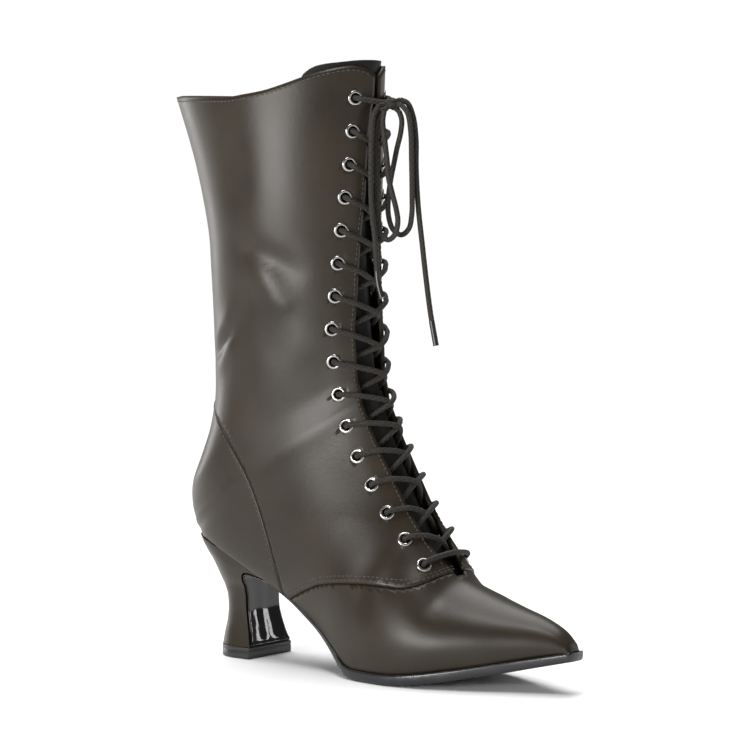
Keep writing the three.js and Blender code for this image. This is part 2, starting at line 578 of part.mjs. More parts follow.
// The heel: level rings with a round back, cut along the upper and the sole, and hollowed by the breast.
// up: share of the way from the floor to the seat at the back. back: x, share of the lift's length from the
// origin. half: share of half the lift's width.
const heelRows = [
  { up: 0.1, back: -0.495, half: 0.95 },
  { up: 0.2, back: -0.464, half: 0.855 },
  { up: 0.3, back: -0.412, half: 0.796 },
  { up: 0.4, back: -0.394, half: 0.765 },
  { up: 0.49, back: -0.409, half: 0.763 },
  { up: 0.59, back: -0.475, half: 0.84 },
  { up: 0.645, back: -0.52, half: 0.985 },
  { up: 0.706, back: -0.575, half: 1.12 },
  { up: 0.794, back: -0.668, half: 1.27 },
  { up: 0.882, back: -0.816, half: 1.344 },
  { up: 0.97, back: -0.943, half: 1.376 },
  { up: 1.04, back: -1.012, half: 1.387 },
];
// The breast in the side view: straight up from the lift, then forward under the waist.
// at: share of the lift's length from the origin. up: as above.
const breastRows = [
  { at: 0.5, up: 0.1 }, { at: 0.46, up: 0.13 }, { at: 0.39, up: 0.24 }, { at: 0.32, up: 0.37 }, { at: 0.3, up: 0.48 },
  { at: 0.305, up: 0.59 }, { at: 0.34, up: 0.67 }, { at: 0.41, up: 0.715 }, { at: 0.52, up: 0.728 },
  { at: 0.8, up: 0.7 }, { at: 1.26, up: 0.615 },
];
const breastCurve = breastRows.map((r) => new THREE.Vector2(liftLength * r.at, heelHeight * r.up));
// The line moved off the heel by a distance
const breastLine = (off) =>
  breastCurve.map((p, i) => {
    const along = breastCurve[Math.min(i + 1, breastCurve.length - 1)].clone().sub(breastCurve[Math.max(i - 1, 0)]);
    along.normalize();
    return [p.x + off * along.y, p.y - off * along.x];
  });
const heelArcs = 12;
function levelRing(back, front, half, z) {
  const arc = range(heelArcs + 1).map((i) => {
    const angle = Math.PI / 2 + (Math.PI * i) / heelArcs;
    return new THREE.Vector3(back + half + half * Math.cos(angle), half * Math.sin(angle), z);
  });
  return [...arc, new THREE.Vector3(front, -half, z), new THREE.Vector3(front, half, z)];
}
const heelFront = stationX(soleStations.find((share) => share > soleStart)) - gap;
const heelForm = (grow) =>
  loft(heelRows.map((r) => levelRing(liftLength * r.back - grow, heelFront, (liftWidth / 2) * r.half + grow, heelHeight * r.up)));
const underFoot = () => belowLine((x) => (shareOf(x) < 0.275 ? featherZ(x) : soleBottomZ(x)) - gap);
function makeHeel() {
  const line = breastLine(0);
  const hollow = sidePrism([...line, [heelFront + 30, line[line.length - 1][1] - 8], [heelFront + 30, -5], [line[0][0], -5]]);
  return heelForm(0).intersect(underFoot()).subtract(hollow);
}
function makeBreast() {
  const [inner, outer] = [breastLine(gap), breastLine(gap + breastCover)];
  const strip = sidePrism([...inner, ...outer.reverse()]);
  return heelForm(-0.7).intersect(strip);
}
function makeLift() {
  const [half, mid] = [liftLength / 2, liftWidth / 2];
  const rows = [[0.5, 0], [0, 0.6], [0, liftHeight - 0.4 - gap], [0.4, liftHeight - gap]];
  return loft(rows.map(([inset, z]) => levelRing(-half + inset, half - inset, mid - inset, z)));
}

// Eyelets
function makeEyelet() {
  const flat = quarterLap + 0.2;
  const foot = -wall - 0.9;
  const profile = [
    [eyeletBore, foot], [eyeletBarrel, flat], [eyeletFlange, flat], [eyeletBore + 0.2, flat + eyeletLip], [eyeletBore, foot],
  ];
  return new THREE.LatheGeometry(profile.map(([r, z]) => new THREE.Vector2(r, z)), 8).rotateX(Math.PI / 2);
}

// Lace. A strand's centre rides above or below the skin at these levels.
const laceRadius = laceDiameter / 2;
const overFacing = quarterLap + gap + 0.2 + laceRadius;
const overEyelet = quarterLap + 0.2 + eyeletLip + gap + laceRadius + 0.3;
const underFacing = -wall - gap - laceRadius - 0.5;
function cordSection(sides) {
  const points = range(sides).map((i) => {
    const angle = (2 * Math.PI * (i + 0.5)) / sides;
    return new THREE.Vector2(laceRadius * Math.cos(angle), laceRadius * Math.sin(angle));
  });
  return new THREE.Shape(points);
}
function cordAlong(points, steps, sides) {
  const path = new THREE.CatmullRomCurve3(points, false, "centripetal");
  return new THREE.ExtrudeGeometry(cordSection(sides), { steps, extrudePath: path, bevelEnabled: false });
}
// A cord through points, with a ring at each, for its sharp turns at the eyelets.
const strandSides = 5;
function cordThrough(points) {
  let across = new THREE.Vector3(0.31, 0.17, 0.93);
  const rings = points.map((p, i) => {
    const before = points[Math.max(i - 1, 0)];
    const after = points[Math.min(i + 1, points.length - 1)];
    const along = after.clone().sub(before).normalize();
    across = across.clone().addScaledVector(along, -across.dot(along)).normalize();
    const up = along.clone().cross(across);
    return range(strandSides).map((k) => {
      const angle = (2 * Math.PI * k) / strandSides;
      return p.clone().addScaledVector(across, laceRadius * Math.cos(angle)).addScaledVector(up, laceRadius * Math.sin(angle));
    });
  });
  return loft(rings);
}
// A cord that comes out of an eyelet and lies over its facing.
function leaving(eyelet, aim) {
  const toward = aim.clone().sub(eyelet.at);
  toward.addScaledVector(eyelet.out, -toward.dot(eyelet.out)).normalize();
  const spots = [[0, 0.1], [0.3, 2.1], [1.7, overEyelet - 0.1], [4.6, overEyelet]];
  return spots.map(([far, level]) => eyelet.at.clone().addScaledVector(toward, far).addScaledVector(eyelet.out, level));
}
// A strand from one eyelet over its facing, through the throat and under the other facing to the next eyelet.
function strand(from, to, sink) {
  const on = (t) => outFrom(from.at.clone().lerp(to.at, t), lerp(from.u, to.u, t), lerp(from.v, to.v, t));
  const place = (t, level) => {
    const here = on(t);
    return here.at.addScaledVector(here.out, level);
  };
  const length = from.at.distanceTo(to.at);
  const edgeAt = (way) => {
    let t = 0.5;
    for (let here = on(t); Math.abs(here.at.y) < throatHalf(here.u); here = on(t)) t += way * 0.01;
    return t;
  };
  const [near, far] = [edgeAt(-1), edgeAt(1)];
  const points = [...leaving(from, place(near * 0.75, 0)), place(near * 0.7, overFacing + 0.3), place(near, overFacing + 0.25)];
  if (throatHalf(on(0.5).u) > throatGap * narrowThroat)
    points.push(place(0.5, sink - 0.5), place(far, underFacing), place(far + facingTuck / length, underFacing));
  else points.push(place(0.5, sink + 0.4), place(0.5 + 2 / length, sink - 0.4));
  return points;
}
const narrowThroat = 0.26; // half-gap, share of the widest gap, where a strand can't pass under a facing
const crossOver = 0.5; // the upper strand's centre above the crossing's middle level
function makeCrossing(k) {
  const over = strand(eyelets.outer[k], eyelets.inner[k - 1], k % 2 ? crossOver : -crossOver);
  const under = strand(eyelets.inner[k], eyelets.outer[k - 1], k % 2 ? -crossOver : crossOver);
  return cordThrough(over).add(cordThrough(under));
}
function makeBottomBar() {
  const [a, b] = [eyelets.outer[0], eyelets.inner[0]];
  const across = [0.3, 0.5, 0.7].map((t) => {
    const here = outFrom(a.at.clone().lerp(b.at, t), a.u, lerp(a.v, b.v, t));
    return here.at.addScaledVector(here.out, overFacing + 0.2);
  });
  return cordThrough([...leaving(a, across[0]), ...across, ...leaving(b, across[2]).reverse()]);
}

// The bow hangs from a knot in front of the throat's top.
const knotAt = new THREE.Vector3(100, 0, 310.5);
const knotSize = [4.2, 4.6, 3.8]; // radii
const bowPoints = (rows) => rows.map((r) => new THREE.Vector3(...r));
function makeKnot() {
  const body = solid(new THREE.SphereGeometry(1, 8, 6).scale(...knotSize).translate(...knotAt.toArray()));
  const strands = ["outer", "inner"].map((side) => {
    const eyelet = eyelets[side][eyeletPairs - 1];
    return cordThrough([...leaving(eyelet, knotAt), knotAt.clone().lerp(eyelet.at, 0.12)]);
  });
  return body.add(strands[0]).add(strands[1]);
}
const frontLoop = [
  [103.6, 3, 306.5], [105.1, 3.4, 302], [104.6, 3.2, 295], [102.1, 3, 286], [100.1, 3, 278], [98.1, 3, 270], [96.4, 3, 260],
  [96.4, 3, 250], [99.1, 3.4, 242.5], [104.6, 3.8, 239.5], [109.6, 4, 243], [111.6, 4, 251], [111.6, 4.2, 262], [111.1, 4.4, 280],
  [110.6, 4.2, 296], [109.1, 3.4, 305.5], [105.6, 2.6, 309.8],
];
const sideLoop = [
  [100.1, -5.6, 307], [99.4, -6, 301], [100.6, -5.6, 290], [101.6, -5, 280], [102.2, -4.6, 271], [104.6, -4.2, 262],
  [107, -4, 254], [108.2, -4, 247], [106.2, -4, 240], [101.6, -4, 237], [97.2, -4.6, 239.5], [95.6, -5, 248], [95.2, -5.4, 262],
  [95.2, -6, 280], [95.4, -6.6, 294], [96.6, -6.2, 303.5],
];
const innerEnd = [
  [103, 4.6, 312.6], [106.1, 7, 311], [109.1, 8.2, 304], [111, 8.4, 292], [111.2, 8.4, 275], [112.6, 8.4, 255],
  [115.6, 8.2, 234], [118.6, 8, 214], [121.6, 8, 196], [125.1, 8, 180],
];
const outerEnd = [
  [97.2, -6.4, 309.6], [96.2, -10, 304], [95.6, -11, 292], [95.2, -11, 277], [95, -10.6, 262], [95.4, -10, 250],
  [96.6, -9.6, 240], [97.2, -9, 228], [98.6, -9, 214], [101.1, -9, 206],
];

const root = new THREE.Group();
function addPiece(name, shape, material) {
  const mesh = new THREE.Mesh(shape.isBufferGeometry ? shape : geometryFrom(shape), material);
  mesh.name = name;
  root.add(mesh);
}
addPiece("upper", makeUpper(), leather);
addPiece("outsole", makeOutsole(), soleBlack);
addPiece("insole", makeInsole(), lining);
addPiece("tongue", makeTongue(), lining);
addPiece("heel_block", makeHeel(), leather);
addPiece("heel_breast", makeBreast(), patent);
addPiece("heel_lift", makeLift(), rubber);
for (const side of ["outer", "inner"])
  eyelets[side].forEach((place, i) => addPiece(`eyelet_${side}_${i + 1}`, stand(makeEyelet(), place, 0), nickel));
addPiece("lace_bar", makeBottomBar(), cord);
for (let k = 1; k < eyeletPairs - 1; k++) addPiece(`lace_cross_${k}`, makeCrossing(k), cord);
addPiece("lace_knot", makeKnot(), cord);
addPiece("lace_loop_front", cordAlong(bowPoints(frontLoop), 20, 8), cord);
addPiece("lace_loop_side", cordAlong(bowPoints(sideLoop), 20, 8), cord);
addPiece("lace_end_inner", cordAlong(bowPoints(innerEnd), 17, 8), cord);
addPiece("lace_end_outer", cordAlong(bowPoints(outerEnd), 14, 8), cord);

export default root;
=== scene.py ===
# A lace-up boot for the right foot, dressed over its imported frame.
# Metres, +X to the toe, +Y to the inner side, +Z up. The section tables are those of the part's source, in mm.
import math
from functools import lru_cache

import bmesh
import bpy
from mathutils import Matrix, Vector, noise
from mathutils.bvhtree import BVHTree


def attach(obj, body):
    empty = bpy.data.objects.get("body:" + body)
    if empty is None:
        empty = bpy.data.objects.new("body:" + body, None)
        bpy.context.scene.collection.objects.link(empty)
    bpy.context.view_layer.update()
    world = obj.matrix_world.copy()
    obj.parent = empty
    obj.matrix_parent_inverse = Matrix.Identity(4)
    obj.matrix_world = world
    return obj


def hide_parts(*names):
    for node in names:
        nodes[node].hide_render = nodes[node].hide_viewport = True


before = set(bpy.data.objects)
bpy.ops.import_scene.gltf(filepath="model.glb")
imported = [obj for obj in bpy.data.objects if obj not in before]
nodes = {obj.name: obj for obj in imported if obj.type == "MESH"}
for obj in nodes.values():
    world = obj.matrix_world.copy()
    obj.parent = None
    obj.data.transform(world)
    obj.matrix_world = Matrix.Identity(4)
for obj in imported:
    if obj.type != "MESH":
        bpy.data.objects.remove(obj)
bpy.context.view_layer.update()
scene = bpy.context.scene
mm = 0.001
print("frame loaded:", len(nodes), "nodes")

# colours are shown as they are, without a film look
scene.view_settings.view_transform = "Standard"

# the camera, at the photograph's angle
shot = {"place": (1.2253, -1.46133, 0.31771), "down": 4.6456, "round": 38.0, "lens": 166.9}
camera = bpy.data.objects.new("camera", bpy.data.cameras.new("camera"))
camera.location = shot["place"]
camera.rotation_euler = (math.radians(90 - shot["down"]), 0, math.radians(shot["round"]))
camera.data.lens = shot["lens"]
camera.data.sensor_width = 36
scene.collection.objects.link(camera)
scene.camera = camera


def clamp(x, low, high):
    return min(high, max(low, x))


def lerp(a, b, t):
    return a + (b - a) * t


def smooth(t):
    t = clamp(t, 0, 1)
    return t * t * (3 - 2 * t)


# a smooth curve through rows of (position, value) that never overshoots a flat stretch
def curveThrough(rows):
    x = [r[0] for r in rows]
    y = [r[1] for r in rows]
    slope = [(y[i + 1] - y[i]) / (x[i + 1] - x[i]) for i in range(len(x) - 1)]
    tangent = [slope[0]]
    for i in range(1, len(x) - 1):
        a, b = slope[i - 1], slope[i]
        tangent.append(0 if a * b <= 0 else 2 * a * b / (a + b))
    tangent.append(slope[-1])

    def value(p):
        q = clamp(p, x[0], x[-1])
        j = len(x) - 2
        for i in range(len(x) - 1):
            if q < x[i + 1]:
                j = i
                break
        h = x[j + 1] - x[j]
        t = (q - x[j]) / h
        u = 1 - t
        return (
            y[j] * (1 + 2 * t) * u * u
            + y[j + 1] * (3 - 2 * t) * t * t
            + h * t * u * (tangent[j] * u - tangent[j + 1] * t)
        )

    return value


# sizes of the last and leg in mm, as in the part's source
last = {
    "footLength": 258, "heelBack": -34.45, "ballWidth": 76, "instepHeight": 52.5, "heelHeight": 68, "bootHeight": 331,
    "collarDepth": 134, "collarWidth": 82, "ankleWidth": 63, "collarDrop": 17, "wall": 1.8,
    "soleThickness": 6, "toeSpring": 18.5, "throatGap": 25,
}


def stationX(share):
    return last["heelBack"] + share * last["footLength"]


def shaftZ(share):
    return last["heelHeight"] + share * (last["bootHeight"] - last["heelHeight"])


def shareOf(x):
    return (x - last["heelBack"]) / last["footLength"]


# sole's line: at, ground, thick; behind the ball it rises to the heel, ahead of it to the toe
ballShare = 0.63
groundRows = [
    (0.02, 0.985, 0.4), (0.08, 0.94, 0.4), (0.12, 0.89, 0.4), (0.16, 0.834, 0.42), (0.24, 0.69, 0.44),
    (0.3, 0.566, 0.46), (0.38, 0.37, 0.54), (0.44, 0.215, 0.68), (0.48, 0.078, 0.9), (0.505, 0.018, 0.98),
    (0.53, 0, 1), (ballShare, 0, 1),
]
springRows = [
    (ballShare, 0, 1), (0.69, 0.1, 1), (0.76, 0.27, 0.98), (0.86, 0.56, 0.94), (0.93, 0.78, 0.88), (1, 1, 0.82),
]
archShare = curveThrough([(r[0], r[1]) for r in groundRows])
springShare = curveThrough([(r[0], r[1]) for r in springRows])
archThick = curveThrough([(r[0], r[2]) for r in groundRows])
springThick = curveThrough([(r[0], r[2]) for r in springRows])


def soleBottomZ(x):
    s = shareOf(x)
    return last["heelHeight"] * archShare(s) if s < ballShare else last["toeSpring"] * springShare(s)


def featherZ(x):
    s = shareOf(x)
    return soleBottomZ(x) + last["soleThickness"] * (archThick(s) if s < ballShare else springThick(s))


# upper's edge from above: at, inner, outer
planRows = [
    (0.026, 0.02, 0.02), (0.032, 0.085, 0.085), (0.05, 0.185, 0.185), (0.08, 0.262, 0.262), (0.125, 0.312, 0.312),
    (0.17, 0.326, 0.328), (0.24, 0.31, 0.322), (0.31, 0.282, 0.305), (0.38, 0.278, 0.318), (0.45, 0.335, 0.386),
    (0.53, 0.45, 0.466), (0.6, 0.49, 0.492), (0.66, 0.482, 0.472), (0.74, 0.42, 0.392), (0.82, 0.318, 0.28),
    (0.89, 0.218, 0.168), (0.95, 0.142, 0.088), (0.985, 0.1, 0.05), (1, 0.082, 0.034),
]
planInner = curveThrough([(r[0], r[1]) for r in planRows])
planOuter = curveThrough([(r[0], r[2]) for r in planRows])


def planHalf(x, side):
    return last["ballWidth"] * (planInner(shareOf(x)) if side > 0 else planOuter(shareOf(x)))


# foot: back, front, rise, inner, outer, widest, high, sway
footRows = [
    (0.987, 0.983, 0.11, 0.094, 0.048, 0.3, 0.95, 0.026), (0.966, 0.958, 0.245, 0.13, 0.085, 0.32, 0.85, 0.024),
    (0.922, 0.911, 0.395, 0.198, 0.156, 0.33, 0.72, 0.02), (0.86, 0.849, 0.543, 0.292, 0.252, 0.32, 0.66, 0.014),
    (0.795, 0.787, 0.7, 0.388, 0.352, 0.3, 0.62, 0.008), (0.717, 0.717, 0.905, 0.47, 0.455, 0.27, 0.55, 0),
]
# instep: back, front, up, inner, outer, widest, high, lean, low
instepRows = [
    (0.64, 0.6698, 0.011, 0.508, 0.512, 0.25, 0.5, 0.35, 0.75),
    (0.562, 0.6341, 0.063, 0.494, 0.516, 0.25, 0.47, 0.35, 0.75),
    (0.484, 0.6062, 0.116, 0.44, 0.478, 0.28, 0.46, 0.35, 0.75),
    (0.4, 0.5829, 0.167, 0.408, 0.44, 0.33, 0.46, 0.35, 0.75),
    (0.302, 0.5612, 0.215, 0.4, 0.42, 0.36, 0.46, 0.3, 0.75),
    (0.186, 0.5426, 0.257, 0.402, 0.412, 0.37, 0.47, 0.24, 0.75),
    (0.085, 0.5283, 0.295, 0.41, 0.414, 0.38, 0.48, 0.15, 0.75),
    (0.021, 0.5174, 0.325, 0.414, 0.416, 0.38, 0.48, 0.05, 0.79),
]
# leg: depth, rear, front, up, width, widest, low
legRows = [
    (0.961, 0.025, 0.5112, 0.342, 0.0, 0.39, 0.8), (0.972, 0.053, 0.5081, 0.356, 0.0, 0.4, 0.8),
    (0.961, 0.095, 0.5023, 0.376, 0.0, 0.41, 0.78), (0.901, 0.156, 0.4973, 0.399, 0.03, 0.42, 0.74),
    (0.841, 0.217, 0.4926, 0.426, 0.08, 0.43, 0.74), (0.804, 0.281, 0.4876, 0.456, 0.15, 0.45, 0.74),
    (0.787, 0.35, 0.4818, 0.502, 0.24, 0.46, 0.74), (0.78, 0.445, 0.4767, 0.57, 0.4, 0.47, 0.74),
    (0.782, 0.563, 0.4736, 0.662, 0.64, 0.48, 0.74), (0.801, 0.654, 0.476, 0.745, 0.8, 0.49, 0.74),
    (0.875, 0.791, 0.4783, 0.844, 0.94, 0.51, 0.74), (0.994, 0.933, 0.4829, 0.951, 1.0, 0.52, 0.74),
    (1.06, 1.004, 0.4876, 1.042, 1.01, 0.52, 0.74),
]
sectionKeys = [
    "bx", "bz", "fx", "fz", "inner", "outer", "flatInner", "flatOuter", "widest", "lean", "low", "high", "sway",
]


def footSection(back, front, z, inner, outer, widest, high, sway, lean, low):
    x = stationX(back)
    w = last["ballWidth"]
    return (
        x, featherZ(x), stationX(front), z, w * inner, w * outer, planHalf(x, 1), planHalf(x, -1),
        widest, lean, low, high, w * sway)


sections = []
for back, front, rise, inner, outer, widest, high, sway in footRows:
    top = featherZ(stationX(front)) + last["instepHeight"] * rise
    sections.append(footSection(back, front, top, inner, outer, widest, high, sway, 0.35, 0.75))
for back, front, up, inner, outer, widest, high, lean, low in instepRows:
    sections.append(footSection(back, front, shaftZ(up), inner, outer, widest, high, 0, lean, low))
for depth, rear, front, up, width, widest, low in legRows:
    x = stationX(front)
    half = lerp(last["ankleWidth"], last["collarWidth"], width) / 2
    rearX = x - last["collarDepth"] * depth
    sections.append((rearX, shaftZ(rear), x, shaftZ(up), half, half, 0, 0, widest, 0, low, 0.5, 0))
lastSection = len(sections) - 1
throatSection = 5
heelSection = 13
collarSection = 22
throatStart = throatSection + 0.12
seatBlend = 0.9  # sections over which the sole's edge eases into the leg
frontShare = 0.55  # of v, from the ridge to the widest place


@lru_cache(maxsize=None)
def sectionAt(u):
    i = int(clamp(math.floor(u), 0, lastSection - 1))
    t = u - i
    a, b, c, d = (sections[int(clamp(i + k, 0, lastSection))] for k in (-1, 0, 1, 2))
    mixed = {}
    for n, key in enumerate(sectionKeys):
        m0 = (c[n] - a[n]) / 2
        m1 = (d[n] - b[n]) / 2
        bend = t * (1 - t) * (m0 * (1 - t) - m1 * t)
        mixed[key] = b[n] * (1 + 2 * t) * (1 - t) ** 2 + c[n] * (3 - 2 * t) * t * t + bend
    if u <= heelSection:
        blend = smooth((u - heelSection + seatBlend) / seatBlend)
        mixed["bz"] = lerp(featherZ(mixed["bx"]), mixed["bz"], blend)
        mixed["flatInner"] = lerp(planHalf(mixed["bx"], 1), mixed["flatInner"], blend)
        mixed["flatOuter"] = lerp(planHalf(mixed["bx"], -1), mixed["flatOuter"], blend)
    mixed["flatInner"] = max(mixed["flatInner"], 0)
    mixed["flatOuter"] = max(mixed["flatOuter"], 0)
    return mixed


def conic(a, b, c, full, t):
    s = 1 - t
    w = (s * s, 2 * s * t * full, t * t)
    total = sum(w)
    return [(w[0] * a[k] + w[1] * b[k] + w[2] * c[k]) / total for k in (0, 1)]


# the boot's surface in mm: u from the toe to above the collar, v from -1 (outer) over the front to 1 (inner)
def skin(u, v):
    s = sectionAt(round(u, 6))
    side = -1 if v < 0 else 1
    half = s["inner"] if side > 0 else s["outer"]
    flat = s["flatInner"] if side > 0 else s["flatOuter"]
    h = math.hypot(s["fx"] - s["bx"], s["fz"] - s["bz"])
    place = s["widest"] * h
    t = abs(v)
    if t < frontShare:
        along, across = conic((h, side * s["sway"]), (h, half), (place, half), s["high"], t / frontShare)
    else:
        t = (t - frontShare) / (1 - frontShare)
        along, across = conic((place, half), (place * s["lean"], half), (0, flat), s["low"], t)
    x = s["bx"] + (s["fx"] - s["bx"]) * along / h
    return Vector((x, side * across, s["bz"] + (s["fz"] - s["bz"]) * along / h))


def skinNormal(u, v):
    du = skin(min(u + 0.02, lastSection), v) - skin(max(u - 0.02, 0), v)
    dv = skin(u, min(v + 0.004, 1)) - skin(u, max(v - 0.004, -1))
    return dv.cross(du).normalized()


def skinAt(u, v, off):
    return skin(u, v) + skinNormal(u, v) * off


throatOpen = curveThrough([
    (-0.04, 0.3), (-0.01, 0.58), (0.04, 0.78), (0.1, 0.86), (0.16, 0.91), (0.22, 0.94), (0.33, 0.93), (0.46, 0.96),
    (0.52, 0.84), (0.6, 0.72), (0.66, 0.62), (0.73, 0.5), (0.82, 0.42), (0.9, 0.28), (0.95, 0.16), (1.04, 0.14),
])


def throatHalf(u):
    up = (sectionAt(round(u, 6))["fz"] - last["heelHeight"]) / (last["bootHeight"] - last["heelHeight"])
    return last["throatGap"] / 2 * throatOpen(up)


# v of the facing's edge at u, on one side
@lru_cache(maxsize=None)
def throatV(u, side):
    low, high = 0.0, 0.5
    for _ in range(18):
        mid = (low + high) / 2
        if abs(skin(u, side * mid).y) < throatHalf(u):
            low = mid
        else:
            high = mid
    return low


collarHeight = curveThrough([
    (stationX(at), last["bootHeight"] - last["collarDrop"] * down) for at, down in (
        (-0.3, 1), (0.2, 1), (0.255, 0.9), (0.3, 0.78), (0.345, 0.56), (0.38, 0.35), (0.415, 0.16), (0.445, 0.04),
        (0.462, 0), (0.472, 0.03), (0.478, 0.09), (0.4815, 0.17), (0.484, 0.3), (0.4858, 0.5), (0.487, 0.9), (0.6, 0.92))
])
vampLine = curveThrough([
    (stationX(at), shaftZ(up)) for at, up in (
        (0.28, -0.2), (0.29, -0.138), (0.328, -0.112), (0.353, -0.101), (0.382, -0.088), (0.402, -0.08),
        (0.425, -0.072), (0.453, -0.066), (0.485, -0.062), (0.533, -0.059), (0.575, -0.058), (0.61, -0.06),
        (0.635, -0.061), (0.655, -0.058), (0.67, -0.053), (0.684, -0.046), (0.694, -0.038), (0.705, -0.03),
        (0.722, -0.015), (0.736, 0.006), (0.76, 0.2))
])
counterLine = curveThrough([
    (shaftZ(up), stationX(at)) for at, up in reversed((
        (0.01, 0.34), (0.04, 0.32), (0.09, 0.29), (0.128, 0.262), (0.165, 0.228), (0.2, 0.183), (0.227, 0.146),
        (0.247, 0.112), (0.27, 0.061), (0.283, 0.023), (0.295, -0.018), (0.305, -0.064), (0.31, -0.16)))
])


# pieces and materials
def newPiece(name, mesh, slot, *replaced):
    piece = bpy.data.objects.new(name, mesh)
    scene.collection.objects.link(piece)
    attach(piece, "root")
    if replaced:
        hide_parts(*replaced)
    return piece


def meshFrom(bm, name, material, angle=40):
    bmesh.ops.scale(bm, vec=(mm, mm, mm), verts=bm.verts)
    for face in bm.faces:
        face.smooth = True
    for edge in bm.edges:
        edge.smooth = not (edge.is_manifold and edge.calc_face_angle(0) > math.radians(angle))
    mesh = bpy.data.meshes.new(name)
    bm.to_mesh(mesh)
    bm.free()
    mesh.materials.append(material)
    return mesh


# a grid of across by along steps, laid on place(a, b) with a and b from 0 to 1; the UV map keeps a and b
def gridOn(across, along, place, uvScale=(1, 1)):
    bm = bmesh.new()
    bmesh.ops.create_grid(bm, x_segments=across, y_segments=along, size=0.5)
    uv = bm.loops.layers.uv.new("UVMap")
    for face in bm.faces:
        for loop in face.loops:
            loop[uv].uv = ((loop.vert.co.x + 0.5) * uvScale[0], (loop.vert.co.y + 0.5) * uvScale[1])
    for vert in bm.verts:
        vert.co = place(vert.co.x + 0.5, vert.co.y + 0.5)
    return bm


# a closed skin over rings of equally many points
def skinOver(rings, uvScale=(1, 1)):
    count, steps = len(rings[0]), len(rings) - 1
    bm = gridOn(count, steps, lambda a, b: rings[round(b * steps)][round(a * count) % count], uvScale)
    bmesh.ops.remove_doubles(bm, verts=bm.verts, dist=0.001)
    bmesh.ops.holes_fill(bm, edges=[e for e in bm.edges if e.is_boundary], sides=0)
    bmesh.ops.recalc_face_normals(bm, faces=bm.faces)
    return bm


def pathLength(points):
    return sum((b - a).length for a, b in zip(points, points[1:]))


# a smooth curve through points, in steps of about step mm
def smoothPath(points, step):
    ends = [points[0] * 2 - points[1]] + list(points) + [points[-1] * 2 - points[-2]]
    path = []
    for p0, p1, p2, p3 in zip(ends, ends[1:], ends[2:], ends[3:]):
        t1 = (p1 - p0).length ** 0.5
        t2 = t1 + (p2 - p1).length ** 0.5
        t3 = t2 + (p3 - p2).length ** 0.5
        count = max(1, round((p2 - p1).length / step))
        for k in range(count):
            t = lerp(t1, t2, k / count)
            a1 = p0.lerp(p1, t / t1)
            a2 = p1.lerp(p2, (t - t1) / (t2 - t1))
            a3 = p2.lerp(p3, (t - t2) / (t3 - t2))
            b1 = a1.lerp(a2, t / t2)
            b2 = a2.lerp(a3, (t - t1) / (t3 - t1))
            path.append(b1.lerp(b2, (t - t1) / (t2 - t1)))
    path.append(points[-1].copy())
    return path


# a round cord along a path
def cordOn(path, radius, sides=10):
    across = Vector((0.31, 0.17, 0.93))
    rings = []
    for i, p in enumerate(path):
        along = (path[min(i + 1, len(path) - 1)] - path[max(i - 1, 0)]).normalized()
        across = (across - along * across.dot(along)).normalized()
        up = along.cross(across)
        turns = [2 * math.pi * k / sides for k in range(sides)]
        rings.append([p + (across * math.cos(t) + up * math.sin(t)) * radius for t in turns])
    return skinOver(rings, (1, pathLength(path) / (2 * math.pi * radius)))


def joined(parts):
    whole = bmesh.new()
    for part in parts:
        mesh = bpy.data.meshes.new("part")
        part.to_mesh(mesh)
        part.free()
        whole.from_mesh(mesh)
        bpy.data.meshes.remove(mesh)
    return whole


# cuts a mesh along the line where field(point) is nil and marks the faces on its upper side
def cutAlong(bm, field, mark, snap=0.3):
    value = {v: field(v.co) for v in bm.verts}
    for edge in bm.edges:
        a, b = edge.verts
        if value[a] * value[b] < 0:
            t = value[a] / (value[a] - value[b])
            near, far, t = (a, b, t) if t < 0.5 else (b, a, 1 - t)
            if t < snap and (edge.is_boundary or not near.is_boundary):
                near.co = near.co.lerp(far.co, t)
                value[near] = 0
    for edge in list(bm.edges):
        a, b = edge.verts
        if value[a] * value[b] < 0:
            _, made = bmesh.utils.edge_split(edge, a, value[a] / (value[a] - value[b]))
            value[made] = 0
    bmesh.ops.connect_verts(bm, verts=[v for v in bm.verts if value[v] == 0])
    side = bm.faces.layers.int[mark]
    for face in bm.faces:
        face[side] = 1 if sum(value[v] for v in face.verts) > 0 else 0


def finished(piece):
    made = bpy.data.meshes.new_from_object(piece.evaluated_get(bpy.context.evaluated_depsgraph_get()))
    piece.modifiers.clear()
    piece.data = made
    return piece


# a sheet that faces the toe, with its wall behind it and soft edges
def sheetPiece(bm, name, material, angle, slot, replaced, thick, bevel, segments):
    bmesh.ops.recalc_face_normals(bm, faces=bm.faces)
    if sum(f.normal.x for f in bm.faces) < 0:
        bmesh.ops.reverse_faces(bm, faces=bm.faces)
    piece = newPiece(name, meshFrom(bm, name, material, angle), slot, replaced)
    wall = piece.modifiers.new("wall", "SOLIDIFY")
    wall.thickness = thick * mm
    wall.offset = -1
    edge = piece.modifiers.new("edge", "BEVEL")
    edge.width = bevel * mm
    edge.segments = segments
    edge.limit_method = "ANGLE"
    return finished(piece)


def newMaterial(name, **sockets):
    material = bpy.data.materials.new(name)
    material.use_nodes = True
    shader = material.node_tree.nodes["Principled BSDF"]
    for key, value in sockets.items():
        shader.inputs[key.replace("_", " ")].default_value = value
    return material, material.node_tree, shader


def addNode(tree, kind, settings=None, **inputs):
    node = tree.nodes.new(kind)
    for key, value in (settings or {}).items():
        setattr(node, key, value)
    for key, value in inputs.items():
        socket = node.inputs[key.replace("_", " ")]
        if isinstance(value, bpy.types.NodeSocket):
            tree.links.new(value, socket)
        else:
            socket.default_value = value
    return node


